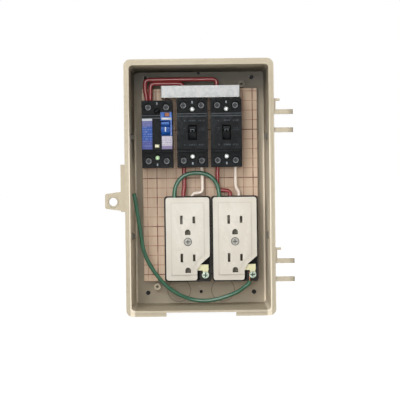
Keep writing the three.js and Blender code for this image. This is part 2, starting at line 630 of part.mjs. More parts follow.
// ---------------------------------------------------------------- crossover between the breakers
function crossoverBar() {
  const neutralX = [breakerX.leakage, breakerX.a, breakerX.b].map((x) => x + poleX);
  const h = board.front + GAP + terminal.wire;
  const low = h - linkBar.thick / 2;
  const bridge = h + wire.radius + 0.8;
  const barLow = row.top + link.rise + linkBar.lift;
  const bar = block(
    neutralX[0] - linkBar.tongueHalf, neutralX[2] + linkBar.tongueHalf, barLow, barLow + linkBar.height,
    bridge, bridge + linkBar.thick,
  );
  const legs = neutralX.flatMap((x, i) => {
    const centre = i === 0 ? leakageZ : rowZ;
    const height = i === 0 ? leakageHeight : breaker.height;
    const tip = centre + breakerLayout(height).terminal - terminal.length / 2 + linkBar.overrun;
    const [x0, x1] = [x - linkBar.tongueHalf, x + linkBar.tongueHalf];
    return [
      block(x0, x1, barLow, barLow + linkBar.thick, low, bridge + linkBar.thick),
      block(x0, x1, tip, barLow + linkBar.thick, low, low + linkBar.thick),
    ];
  });
  return join(bar, ...legs);
}

// A channel over the crossover bar, open towards the board and towards the breakers.
function crossoverCover() {
  const x0 = breakerX.leakage + poleX - linkBar.tongueHalf - link.endRoom;
  const x1 = breakerX.b + poleX + linkBar.tongueHalf + link.endRoom;
  const low = row.top + link.rise;
  const top = low + link.height;
  const rear = board.front + GAP;
  const shell = block(x0, x1, low, top, rear, link.face);
  const room = block(x0 + link.wall, x1 - link.wall, low - 1, top - link.wall, rear - 1, link.face - link.wall);
  const passages = [breakerX.a, breakerX.b].map((x) => {
    const wireX = x - poleX;
    const side = wire.radius + 0.6;
    return block(wireX - side, wireX + side, top - link.wall - 1, top + 1, rear - 1,
      rear + terminal.wire + side);
  });
  return cut(shell, room, ...passages);
}

// ---------------------------------------------------------------- receptacle pieces
function outletBase() {
  const half = outlet.baseWidth / 2;
  const end = outlet.baseHeight / 2;
  const body = slab(roundedRectangle(half, end, outlet.baseRadius), 0, outlet.base);
  const roomX = half - outlet.wall;
  const roomZ = end - outlet.wall;
  const blockLeft = earth.x - outlet.plateShelf;
  const blockTop = earth.z + outlet.plateShelf;
  const room = cut(
    block(-roomX, roomX, -roomZ, roomZ, outlet.floor, outlet.base + PASS),
    block(blockLeft, roomX + PASS, -roomZ - PASS, blockTop, outlet.floor - PASS, outlet.base + 2 * PASS),
  );
  const entryRadius = wire.radius + outlet.entryGap;
  const entries = [outletWire.live, outletWire.neutral].map((x) => (
    uprightRod(x, wire.h, roomZ - PASS, end + PASS, entryRadius, 10)
  ));
  const notchHalf = greenWire.radius + outlet.jumperRoom;
  const notchX = (greenWire.jumperLeft + greenWire.jumperRight) / 2;
  const notch = block(notchX - notchHalf, notchX + notchHalf, roomZ - PASS, end + PASS,
    greenWire.jumperH - greenWire.radius - terminal.coreGap, outlet.base + PASS);
  const boreEnd = outlet.base - outlet.boreDepth;
  const screwBore = disc(earth.x, earth.z, earth.bore, boreEnd, outlet.base + PASS, 10);
  const post = disc(0, outlet.screwZ, outlet.post, outlet.floor - PASS, outlet.base, 12);
  const postBore = disc(0, outlet.screwZ, outlet.screwBore, boreEnd, outlet.base + PASS, 8);
  return cut(join(cut(body, room), post), ...entries, notch, screwBore, postBore);
}

function coverOutline(inset) {
  const x = outlet.width / 2 - inset;
  const z = outlet.height / 2 - inset;
  const r = Math.max(outlet.radius - inset, outlet.leastRadius);
  const shape = new THREE.Shape();
  shape.absarc(x - r, z - r, r, 0, Math.PI / 2);
  shape.absarc(-x + r, z - r, r, Math.PI / 2, Math.PI);
  shape.absarc(-x + r, -z + r, r, Math.PI, 1.5 * Math.PI);
  shape.absarc(outlet.notchX - inset - r, -z + r, r, 1.5 * Math.PI, 2 * Math.PI);
  shape.lineTo(outlet.notchX - inset, outlet.notchLow + inset * 0.4);
  shape.lineTo(outlet.notchElbow - inset * 0.4, outlet.notchMid + inset * 0.9);
  shape.lineTo(x, outlet.notchTop + inset * 0.6);
  return shape;
}

function outletCover() {
  const rear = outlet.base + GAP;
  const shell = join(
    slab(coverOutline(0), rear, outlet.border),
    slab(coverOutline(outlet.panelInset), outlet.border - PASS, outlet.face),
  );
  const room = slab(coverOutline(outlet.coverWall), rear - PASS, outlet.border - outlet.skin);
  const holes = [];
  for (const z of [outlet.bladeZ, outlet.bladeZ - outlet.pair]) {
    for (const [side, length] of [[-1, outlet.neutralBlade], [1, outlet.liveBlade]]) {
      const x = side * outlet.bladePitch / 2;
      holes.push(block(
        x - outlet.bladeGap / 2, x + outlet.bladeGap / 2, z - length / 2, z + length / 2,
        rear, outlet.face + PASS,
      ));
    }
    holes.push(groundHole(z - outlet.ground, rear));
  }
  const screwHole = disc(0, outlet.screwZ, outlet.coverBore, rear, outlet.face + PASS, 10);
  const screwSeat = disc(0, outlet.screwZ, outlet.screwHead + GAP, outlet.border, outlet.face + PASS, 12);
  const tabPassage = block(
    earth.tabLeft - 2 * PASS, earth.tabLeft + 5 * PASS, earth.tabLow - PASS, earth.tabHigh + PASS,
    rear - PASS, rear + earth.plate + GAP,
  );
  return cut(shell, room, ...holes, screwHole, screwSeat, tabPassage);
}

// The grounding hole: round at the top, square at the bottom.
function groundHole(z, rear) {
  const shape = new THREE.Shape();
  shape.moveTo(outlet.groundRadius, z);
  shape.absarc(0, z, outlet.groundRadius, 0, Math.PI);
  shape.lineTo(-outlet.groundRadius, z - outlet.groundRadius);
  shape.lineTo(outlet.groundRadius, z - outlet.groundRadius);
  return slab(shape, rear, outlet.face + PASS);
}

function coverScrew() {
  const seat = outlet.border + GAP;
  const top = outlet.face + outlet.screwProud;
  const shankEnd = outlet.base - outlet.boreDepth + 2 * PASS;
  return cut(
    join(
      disc(0, outlet.screwZ, outlet.screwHead, seat, top, 14),
      disc(0, outlet.screwZ, outlet.screwBore - GAP, shankEnd, seat + PASS / 5, 8),
    ),
    ...crossSlots(0, outlet.screwZ, top - outlet.slotDepth, top + PASS),
  );
}

// A strip along one row of blade slots, with two pairs of clip leaves. It crosses to its clamp at crossZ.
function bladeContact(x, h, clampX, crossZ) {
  const plateTop = clampSeat;
  const plateLow = plateTop - terminal.plate;
  const low = outlet.bladeZ - outlet.pair;
  const reach = blade.strip;
  const top = h + blade.thick;
  const crossTop = crossZ + blade.crossHeight;
  const [riseLow, riseHigh] = [blade.clampZ - blade.clampBelow, blade.clampZ - blade.clampBelow + blade.rise];
  const pieces = [
    block(x - reach, x + reach, low - blade.tail, crossTop, h, top),
    block(Math.min(x, clampX) - reach, Math.max(x, clampX) + reach, crossZ, crossTop, h, top),
    block(clampX - reach, clampX + reach, crossZ, riseHigh, h, top),
    block(clampX - reach, clampX + reach, riseLow, riseHigh, Math.min(h, plateLow), plateTop),
    block(
      clampX - blade.clampHalf, clampX + blade.clampHalf, riseLow, blade.clampZ + blade.clampAbove,
      plateLow, plateTop,
    ),
  ];
  for (const z of [outlet.bladeZ, low]) {
    for (const side of [-1, 1]) {
      const leaf = x + side * blade.half;
      pieces.push(block(
        leaf - blade.leaf / 2, leaf + blade.leaf / 2, z - blade.length / 2, z + blade.length / 2,
        h + PASS / 5, blade.top,
      ));
    }
  }
  return join(...pieces);
}

// The earth strip: sockets under the two grounding holes, a clamp for the jumper and the plate in the notch.
function earthContact(jumperX) {
  const high = outlet.bladeZ - outlet.ground;
  const low = high - outlet.pair;
  const { stripH } = earth;
  const stripTop = stripH + earth.stripThick;
  const plateLow = outlet.base + GAP;
  const clampTop = greenWire.jumperH - wire.core - terminal.coreSeat;
  const plateTop = plateLow + earth.plate;
  const [clampLeft, clampRight] = [jumperX - earth.clampHalf, jumperX + earth.clampHalf];
  const [clampLow, clampHigh] = [blade.clampZ - earth.clampLength / 2, blade.clampZ + earth.clampLength / 2];
  const [branchLow, branchHigh] = [high + 2, high + 4];
  const [tongueLow, tongueHigh] = [earth.tabHigh - 5, earth.tabHigh - 2];
  const tabStart = earth.tabLeft - earth.plate;
  const pieces = [
    block(-earth.half, earth.half, low - 3, branchHigh, stripH, stripTop),
    disc(0, outlet.screwZ, outlet.post + 2, stripH, stripTop, 12),
    block(clampLeft, earth.half, branchLow, branchHigh, stripH, stripTop),
    block(clampLeft, clampRight, branchLow, clampHigh, stripH, stripTop),
    block(clampLeft, clampRight, clampLow, clampLow + 0.8, stripH, clampTop),
    block(clampLeft, clampRight, clampLow, clampHigh, clampTop - 1, clampTop),
    block(0, tabStart, tongueLow, tongueHigh, stripH, stripTop),
    block(tabStart, earth.tabLeft, tongueLow, tongueHigh, stripH, plateTop),
    block(tabStart, earth.tabLeft + earth.tabReach, earth.tabLow, earth.tabHigh, plateLow, plateTop),
    disc(earth.x, earth.z, earth.eye, plateLow, plateTop, 14),
    block(earth.x - earth.neck, earth.x + earth.neck, earth.z, earth.tabLow + PASS, plateLow, plateTop),
  ];
  for (const z of [high, low]) {
    for (const side of [-1, 1]) {
      const leaf = side * earth.leaf;
      pieces.push(block(
        leaf - blade.leaf / 2, leaf + blade.leaf / 2, z - 2, z + 2, stripH + PASS / 5, blade.top,
      ));
    }
  }
  const bore = disc(earth.x, earth.z, earth.bore, plateLow - 1, plateLow + 2, 10);
  const postClear = disc(0, outlet.screwZ, outlet.post + GAP, stripH - 1, stripH + 2, 12);
  return cut(join(...pieces), bore, postClear);
}

function earthScrew() {
  const seat = outlet.base + GAP + earth.plate + GAP + 2 * wire.core + GAP;
  const top = seat + earth.headThick;
  const shankEnd = outlet.base - outlet.boreDepth + PASS;
  return cut(
    join(
      disc(earth.x, earth.z, earth.head, seat, top, 14),
      disc(earth.x, earth.z, earth.bore - GAP, shankEnd, seat + PASS / 5, 10),
    ),
    ...crossSlots(earth.x, earth.z, top - earth.slotDepth, top + PASS),
  );
}

function addOutlet(prefix, x, jumperX) {
  const device = deviceGroup(x, outlet.z);
  const live = outlet.bladePitch / 2;
  addMesh(device, `${prefix}_base`, outletBase(), blackPlastic);
  addMesh(device, `${prefix}_cover`, outletCover(), ivoryPlastic);
  addMesh(device, `${prefix}_cover_screw`, coverScrew(), steel);
  const liveContact = bladeContact(live, blade.liveH, outletWire.live, blade.clampZ - blade.liveCross);
  const neutralContact = bladeContact(
    -live, blade.neutralH, outletWire.neutral, blade.clampZ - blade.neutralCross,
  );
  addMesh(device, `${prefix}_live_contact`, liveContact, brass);
  addMesh(device, `${prefix}_neutral_contact`, neutralContact, brass);
  addMesh(device, `${prefix}_earth_contact`, earthContact(jumperX), chromated);
  addMesh(device, `${prefix}_earth_screw`, earthScrew(), chromated);
}

// ---------------------------------------------------------------- wiring
const place = (x, z, h) => new THREE.Vector3(x, -h, z);

// Straight runs joined by bends of one radius, through points that all lie at their own heights.
function bentPath(points, radius) {
  const path = new THREE.CurvePath();
  let from = points[0];
  for (let i = 1; i < points.length - 1; i += 1) {
    const into = points[i].clone().sub(points[i - 1]).normalize();
    const away = points[i + 1].clone().sub(points[i]).normalize();
    const start = points[i].clone().addScaledVector(into, -radius);
    const end = points[i].clone().addScaledVector(away, radius);
    path.add(new THREE.LineCurve3(from, start));
    path.add(new THREE.QuadraticBezierCurve3(start, points[i], end));
    from = end;
  }
  path.add(new THREE.LineCurve3(from, points[points.length - 1]));
  return path;
}

function roundSection(radius, sides) {
  const section = new THREE.Shape();
  for (let i = 0; i < sides; i += 1) {
    const angle = (2 * Math.PI * (i + 0.5)) / sides;
    if (i === 0) section.moveTo(radius * Math.cos(angle), radius * Math.sin(angle));
    else section.lineTo(radius * Math.cos(angle), radius * Math.sin(angle));
  }
  return section;
}

function tube(path, radius, pitch) {
  const steps = Math.max(2, Math.round(path.getLength() / pitch));
  return new THREE.ExtrudeGeometry(roundSection(radius, 8), { steps, extrudePath: path });
}

// The stripped end of a wire: a straight length of core that starts inside the insulation.
function core(x, h, z0, z1) {
  return uprightRod(x, h, Math.min(z0, z1), Math.max(z0, z1), wire.core, 8);
}

function addWiring() {
  const h = board.front + GAP + terminal.wire;
  const breakerLow = row.top - breaker.height;
  const lowRun = row.top + link.rise + link.height + wire.radius + wire.clear;
  const entry = breaker.wall + 1.5;
  const clampReach = entry + terminal.endGap + terminal.length - 2.5;
  const sourceX = breakerX.leakage - poleX;
  const outletTop = outlet.z + outlet.baseHeight / 2;
  const clampZ = outlet.z + blade.clampZ;

  // Two feeds leave one terminal side by side and run over the crossover cover to the branch breakers.
  const feeds = [
    ['feed_wire_a', breakerX.a - poleX, pairSide, lowRun, 0.2],
    ['feed_wire_b', breakerX.b - poleX, -pairSide, lowRun + 2 * wire.radius + wire.runGap, -1.5],
  ];
  for (const [name, targetX, side, runZ, sway] of feeds) {
    const startX = sourceX + side;
    const start = leakageTop + GAP;
    const path = bentPath([
      place(startX, start, h), place(startX, start + 4, h), place(startX + sway, start + 12, h),
      place(startX + sway, runZ, h),
      place(targetX, runZ, h), place(targetX, row.top - entry + 1, h),
    ], 2.9);
    const coreX = sourceX + side * 0.8;
    addMesh(product, name, join(
      tube(path, wire.radius, 3.6),
      core(coreX, h, start + 1.5, leakageTop - clampReach),
      core(targetX, h, row.top - entry + 3, row.top - clampReach),
    ), redVinyl);
  }

  // Drops from the branch breakers to the receptacles.
  const drops = [
    ['live_wire_a', breakerX.a - poleX, outlet.x[0] + outletWire.live, 4, redVinyl],
    ['neutral_wire_a', breakerX.a + poleX, outlet.x[0] + outletWire.neutral, 3.6, whiteVinyl],
    ['live_wire_b', breakerX.b - poleX, outlet.x[1] + outletWire.live, 6, redVinyl],
    ['neutral_wire_b', breakerX.b + poleX, outlet.x[1] + outletWire.neutral, 4, whiteVinyl],
  ];
  for (const [name, fromX, toX, shelf, material] of drops) {
    const across = Math.abs(toX - fromX) > 4;
    const top = breakerLow + entry - 1;
    const end = outletTop - outlet.wall - 1;
    const middle = across
      ? [place(fromX + Math.sign(fromX - toX) * 0.6, outletTop + shelf, h), place(toX, outletTop + shelf - 1, h)]
      : [place(fromX, outletTop + shelf + 5, h), place(toX, outletTop + shelf, h)];
    const path = bentPath([place(fromX, top, h), ...middle, place(toX, end, h)], across ? 2.6 : 1.2);
    addMesh(product, name, join(
      tube(path, wire.radius, 3),
      core(fromX, h, top - 2, breakerLow + clampReach),
      core(toX, h, end + 2, clampZ - 1.5),
    ), material);
  }

  // The earth jumper arches from one receptacle to the other, in front of the drops.
  const jumperH = board.front + GAP + greenWire.jumperH;
  const leftX = outlet.x[0] + greenWire.jumperLeft;
  const rightX = outlet.x[1] + greenWire.jumperRight;
  const foot = outletTop - outlet.wall - 1.4;
  const archFoot = outletTop - 0.9;
  const power = 2 / 2.35;
  const arch = [place(leftX, foot, jumperH)];
  const bends = 12;
  for (let i = 0; i <= bends; i += 1) {
    const angle = Math.PI - (Math.PI * i) / bends;
    const across = Math.sign(Math.cos(angle)) * Math.abs(Math.cos(angle)) ** power;
    const up = Math.sin(angle) ** power;
    const x = (leftX + rightX) / 2 + (across * (rightX - leftX)) / 2;
    arch.push(place(x, archFoot + up * greenWire.jumperRise, jumperH));
  }
  arch.push(place(rightX, foot, jumperH));
  addMesh(product, 'earth_jumper', join(
    tube(new THREE.CatmullRomCurve3(arch), greenWire.radius, 3.6),
    core(leftX, jumperH, foot + 1.5, clampZ - 2),
    core(rightX, jumperH, foot + 1.5, clampZ - 2),
  ), greenVinyl);

  // The free earth lead: from the right-hand earth screw, along the floor and up the left side.
  const screwX = outlet.x[1] + earth.x;
  const screwZ = outlet.z + earth.z;
  const leadCore = board.front + GAP + outlet.base + GAP + earth.plate + GAP + wire.core;
  const lead = leadPoints.map(([x, z, height]) => place(screwX + x, screwZ + z, leadCore + height));
  const shankSide = screwX - (earth.bore + wire.core + GAP);
  addMesh(product, 'earth_lead', join(
    tube(new THREE.CatmullRomCurve3(lead), greenWire.radius, 6),
    core(shankSide, leadCore, screwZ - 7.5, screwZ + 3),
  ), greenVinyl);
}

// ---------------------------------------------------------------- assembly
addMesh(product, 'enclosure_body', enclosureBody(), beigePlastic);
addMesh(product, 'mounting_board', mountingBoard(), plywood);
let screwNumber = 1;
for (const x of [-board.screwX, board.screwX]) {
  for (const z of board.screwZ) {
    const geometry = boardScrew().translate(board.x + x, 0, z);
    addMesh(product, `board_screw_${screwNumber}`, geometry, steel);
    screwNumber += 1;
  }
}
addBreaker('leakage_breaker', breakerX.leakage, leakageZ, leakageHeight, true);
addBreaker('branch_breaker_a', breakerX.a, rowZ, breaker.height, false);
addBreaker('branch_breaker_b', breakerX.b, rowZ, breaker.height, false);
addMesh(product, 'crossover_bar', crossoverBar(), copper);
addMesh(product, 'crossover_cover', crossoverCover(), whitePlastic);
addOutlet('outlet_a', outlet.x[0], greenWire.jumperLeft);
addOutlet('outlet_b', outlet.x[1], greenWire.jumperRight);
addWiring();

export default product;
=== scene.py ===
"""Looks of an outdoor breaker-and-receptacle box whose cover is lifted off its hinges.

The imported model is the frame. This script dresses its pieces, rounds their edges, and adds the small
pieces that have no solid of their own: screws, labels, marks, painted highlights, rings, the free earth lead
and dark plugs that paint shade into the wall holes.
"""

from __future__ import annotations

import logging
import math
from contextlib import contextmanager
from dataclasses import dataclass
from enum import Enum
from typing import Callable, Iterator

import bpy
from mathutils import Matrix, Vector

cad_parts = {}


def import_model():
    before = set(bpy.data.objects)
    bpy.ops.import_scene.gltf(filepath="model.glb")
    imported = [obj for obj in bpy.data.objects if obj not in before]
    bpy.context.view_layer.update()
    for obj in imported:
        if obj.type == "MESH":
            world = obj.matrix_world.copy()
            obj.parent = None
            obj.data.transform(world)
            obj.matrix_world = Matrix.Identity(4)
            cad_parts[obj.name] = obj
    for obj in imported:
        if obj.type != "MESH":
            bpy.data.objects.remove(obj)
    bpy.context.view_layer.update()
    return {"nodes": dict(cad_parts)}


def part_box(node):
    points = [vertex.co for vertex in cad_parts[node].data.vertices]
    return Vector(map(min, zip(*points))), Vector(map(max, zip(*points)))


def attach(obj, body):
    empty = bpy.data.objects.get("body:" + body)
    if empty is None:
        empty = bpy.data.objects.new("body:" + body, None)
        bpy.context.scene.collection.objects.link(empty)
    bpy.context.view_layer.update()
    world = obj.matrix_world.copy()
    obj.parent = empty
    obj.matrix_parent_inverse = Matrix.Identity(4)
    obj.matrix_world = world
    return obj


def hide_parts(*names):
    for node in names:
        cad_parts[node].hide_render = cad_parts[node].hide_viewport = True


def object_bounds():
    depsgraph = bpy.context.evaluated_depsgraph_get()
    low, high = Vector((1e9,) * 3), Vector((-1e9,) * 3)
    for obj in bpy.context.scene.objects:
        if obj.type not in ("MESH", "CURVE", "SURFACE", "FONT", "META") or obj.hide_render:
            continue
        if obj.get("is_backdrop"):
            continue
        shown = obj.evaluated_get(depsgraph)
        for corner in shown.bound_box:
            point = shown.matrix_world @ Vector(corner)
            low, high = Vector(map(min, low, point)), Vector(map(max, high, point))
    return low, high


LOG = logging.getLogger("breaker_box")
MM = 0.001
FACING_FRONT = (math.pi / 2, 0, 0)
Colour = tuple[int, int, int]
Span = tuple[float, float]
Triple = tuple[float, float, float]
Socket = bpy.types.NodeSocket


class Body(str, Enum):
    """The bodies that pieces ride on."""

    BOX = "box"
    LEAKAGE_HANDLE = "leakage_breaker_handle"
    BRANCH_A_HANDLE = "branch_breaker_a_handle"
    BRANCH_B_HANDLE = "branch_breaker_b_handle"


class Slot(str, Enum):
    """Material slots of the record."""

    BEIGE = "beige_plastic"
    BLACK = "black_plastic"
    BLUE = "blue_plastic"
    WHITE = "white_plastic"
    STEEL = "plated_steel"
    COPPER = "copper"
    GREEN = "green_vinyl"


# ---------------------------------------------------------------- bench work


def linear(colour: Colour) -> tuple[float, float, float, float]:
    """Turns an 8-bit display colour into the linear colour that shaders use.

    Args:
        colour: Red, green and blue, 0 to 255.

    Returns:
        Linear red, green, blue and an alpha of 1.
    """
    parts = [c / 255 for c in colour]
    return (*(c / 12.92 if c <= 0.04045 else ((c + 0.055) / 1.055) ** 2.4 for c in parts), 1.0)


class Bench:
    """Ways of starting, shaping and finishing a piece with Blender's own operators."""

    @staticmethod
    def only(obj: bpy.types.Object) -> None:
        """Deselects everything, then selects one object and makes it active.

        Args:
            obj: The object to select.
        """
        bpy.ops.object.select_all(action="DESELECT")
        obj.select_set(True)
        bpy.context.view_layer.objects.active = obj

    @staticmethod
    def settle(obj: bpy.types.Object, name: str) -> bpy.types.Object:
        """Names an object and moves its place, turn and scale into its mesh.

        Args:
            obj: The object that was just added.
            name: The name of the piece.

        Returns:
            The same object, at the origin.
        """
        obj.name = name
        obj.data.name = name
        Bench.only(obj)
        bpy.ops.object.transform_apply(location=True, rotation=True, scale=True)
        return obj

    @staticmethod
    def plate(name: str, low: Vector, high: Vector, turn: Triple = (0, 0, 0)) -> bpy.types.Object:
        """Starts a piece as a flat plate between two corners.

        Args:
            name: The name of the piece.
            low: Its lowest corner.
            high: Its highest corner.
            turn: A turn about its own middle, in radians.

        Returns:
            The new object.
        """
        bpy.ops.object.select_all(action="DESELECT")
        bpy.ops.mesh.primitive_cube_add(size=1, location=(low + high) / 2, rotation=turn, scale=high - low)
        return Bench.settle(bpy.context.active_object, name)

    @staticmethod
    def drum(name: str, centre: Vector, radius: float, depth: float, sides: int = 32,
             turn: Triple = FACING_FRONT) -> bpy.types.Object:
        """Starts a piece as a drum that faces the front.

        Args:
            name: The name of the piece.
            centre: The middle of the drum.
            radius: Its radius.
            depth: Its length.
            sides: How many sides its outline has.
            turn: Its turn, in radians.

        Returns:
            The new object.
        """
        bpy.ops.object.select_all(action="DESELECT")
        bpy.ops.mesh.primitive_cylinder_add(vertices=sides, radius=radius, depth=depth, location=centre,
                                            rotation=turn)
        return Bench.settle(bpy.context.active_object, name)

    @staticmethod
    def ring(name: str, centre: Vector, radius: float, thick: float, sides: int = 32,
             steps: int = 10) -> bpy.types.Object:
        """Starts a piece as a smooth round ring that faces the front.

        Args:
            name: The name of the piece.
            centre: The middle of the ring.
            radius: How far its centreline is from its middle.
            thick: The radius of its round section.
            sides: How many sides its outline has.
            steps: How many sides its section has.

        Returns:
            The new object.
        """
        bpy.ops.object.select_all(action="DESELECT")
        bpy.ops.mesh.primitive_torus_add(major_radius=radius, minor_radius=thick, major_segments=sides,
                                         minor_segments=steps, location=centre, rotation=FACING_FRONT)
        ring = Bench.settle(bpy.context.active_object, name)
        bpy.ops.object.shade_smooth_by_angle(angle=math.radians(40))
        return ring

    @staticmethod
    def looks_front(face: bpy.types.MeshPolygon) -> bool:
        """Says whether a face looks to the front."""
        return face.normal.y < -0.9

    @staticmethod
    @contextmanager
    def shaping(obj: bpy.types.Object, rule: Callable[[bpy.types.MeshPolygon], bool]) -> Iterator[None]:
        """Opens an object in edit mode with only the faces that follow a rule selected.

        Args:
            obj: The object to shape.
            rule: Says whether a face is selected.

        Yields:
            Nothing; operators run inside the block.
        """
        Bench.only(obj)
        bpy.context.tool_settings.mesh_select_mode = (False, False, True)
        for part in (obj.data.vertices, obj.data.edges):
            part.foreach_set("select", [False] * len(part))
        for face in obj.data.polygons:
            face.select = rule(face)
        bpy.ops.object.mode_set(mode="EDIT")
        yield
        bpy.ops.object.mode_set(mode="OBJECT")

    @staticmethod
    def apply(obj: bpy.types.Object, kind: str, **settings: object) -> None:
        """Adds a modifier and applies it.

        Args:
            obj: The object to change.
            kind: The modifier's type.
            **settings: Its settings.
        """
        Bench.only(obj)
        modifier = Bench.modifier(obj, kind, **settings)
        bpy.ops.object.modifier_apply(modifier=modifier.name)

    @staticmethod
    def modifier(obj: bpy.types.Object, kind: str, **settings: object) -> bpy.types.Modifier:
        """Adds a live modifier.

        Args:
            obj: The object that gets it.
            kind: The modifier's type.
            **settings: Its settings.

        Returns:
            The modifier.
        """
        modifier = obj.modifiers.new(kind.lower(), kind)
        for key, value in settings.items():
            setattr(modifier, key, value)
        return modifier

    @staticmethod
    def round_edges(obj: bpy.types.Object, width: float, segments: int = 2, angle: float = 40) -> None:
        """Rounds a new piece's edges and applies it.

        Args:
            obj: The piece.
            width: How far the rounding reaches.
            segments: Its number of faces.
            angle: The least angle between two faces, in degrees, that gets rounded.
        """
        Bench.apply(obj, "BEVEL", width=width, segments=segments, limit_method="ANGLE",
                    angle_limit=math.radians(angle))
        bpy.ops.object.shade_smooth_by_angle(angle=math.radians(angle))

    @staticmethod
    def cut(obj: bpy.types.Object, cutter: bpy.types.Object) -> None:
        """Takes one object out of another and removes the cutter.

        Args:
            obj: The piece that is cut.
            cutter: The shape that is taken out.
        """
        Bench.apply(obj, "BOOLEAN", operation="DIFFERENCE", solver="EXACT", object=cutter)
        bpy.data.objects.remove(cutter)

    @staticmethod
    def joined(name: str, parts: list[bpy.types.Object]) -> bpy.types.Object:
        """Joins pieces into one object.

        Args:
            name: The name of the result.
            parts: The objects to join.

        Returns:
            The joined object.
        """
        bpy.ops.object.select_all(action="DESELECT")
        for part in parts:
            part.select_set(True)
        bpy.context.view_layer.objects.active = parts[0]
        bpy.ops.object.join()
        parts[0].name = name
        parts[0].data.name = name
        return parts[0]

    @staticmethod
    def hand_over(obj: bpy.types.Object, body: Body, slot: Slot, finish: Finish) -> None:
        """Gives a finished piece its material and the body it rides on.

        Args:
            obj: The finished piece.
            body: The body that carries it.
            slot: Not used.
            finish: Its finish.
        """
        obj.data.materials.clear()
        obj.data.materials.append(finish.build())
        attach(obj, body.value)
        LOG.info("made %s on %s", obj.name, body.value)


# ---------------------------------------------------------------- shader graphs


class Graph:
    """A node tree and short ways of adding to it."""

    def __init__(self, tree: bpy.types.NodeTree) -> None:
        """Keeps the tree that nodes are added to."""
        self.tree = tree

    def node(self, kind: str, inputs: dict | None = None, **settings: object) -> bpy.types.Node:
        """Adds a node, sets it and fills its inputs.

        Args:
            kind: The node's type.
            inputs: Values or sockets by input name or number.
            **settings: The node's own settings.

        Returns:
            The new node.
        """
        node = self.tree.nodes.new(kind)
        for key, value in settings.items():
            setattr(node, key, value)
        for key, value in (inputs or {}).items():
            if isinstance(value, Socket):
                self.tree.links.new(value, node.inputs[key])
            else:
                node.inputs[key].default_value = value
        return node

    def group(self, tree: bpy.types.NodeTree, *values: object) -> bpy.types.bpy_prop_collection:
        """Places a shader group.

        Args:
            tree: The group.
            *values: Values or sockets for its inputs, in order.

        Returns:
            Its outputs.
        """
        return self.node("ShaderNodeGroup", dict(enumerate(values)), node_tree=tree).outputs

    def axes(self, place: Socket) -> bpy.types.bpy_prop_collection:
        """Splits a place into its three coordinates."""
        return self.node("ShaderNodeSeparateXYZ", {0: place}).outputs

    def noise(self, place: Socket, scale: object, detail: float, roughness: float = 0.5) -> Socket:
        """Adds a noise texture and returns its value."""
        return self.node("ShaderNodeTexNoise", {
            "Vector": place, "Scale": scale, "Detail": detail, "Roughness": roughness}).outputs[0]

    def math(self, operation: str, *values: object) -> Socket:
        """Adds a Math node and returns its result."""
        return self.node("ShaderNodeMath", dict(enumerate(values)), operation=operation).outputs[0]

    def times(self, first: object, second: object) -> Socket:
        """Multiplies two values and returns the result."""
        return self.math("MULTIPLY", first, second)

    def mix(self, factor: object, first: object, second: object) -> Socket:
        """Mixes two colours and returns the result."""
        return self.node("ShaderNodeMix", {0: factor, 6: first, 7: second}, data_type="RGBA").outputs[2]

    def tint(self, base: Socket, mask: Socket, colour: Colour, share: float = 1.0) -> Socket:
        """Lays a colour over a base colour where a mask says so.

        Args:
            base: The colour beneath.
            mask: Where the new colour lies, 0 to 1.
            colour: The new colour.
            share: How much of it shows where the mask is 1.

        Returns:
            The result's socket.
        """
        return self.mix(mask if share == 1.0 else self.times(mask, share), base, linear(colour))

    def between(self, value: object, low: float, high: float, at_low: float = 0.0,
                at_high: float = 1.0) -> Socket:
        """Maps a value smoothly from one span to another and keeps it inside.

        Args:
            value: The value to map.
            low: Where the span begins.
            high: Where the span ends.
            at_low: The result at its beginning.
            at_high: The result at its end.

        Returns:
            The result's socket.
        """
        node = self.node("ShaderNodeMapRange", {0: value, 1: low, 2: high, 3: at_low, 4: at_high},
                         interpolation_type="SMOOTHSTEP")
        return node.outputs[0]

    def below(self, value: object, edge: float, soft: float) -> Socket:
        """A mask that is 1 below an edge and 0 above it, with a soft change."""
        return self.between(value, edge - soft, edge + soft, 1.0, 0.0)

    def window(self, value: object, low: float, high: float, soft: float) -> Socket:
        """A mask that is 1 between two values and 0 outside, with soft edges."""
        return self.times(self.between(value, low - soft, low + soft), self.below(value, high, soft))


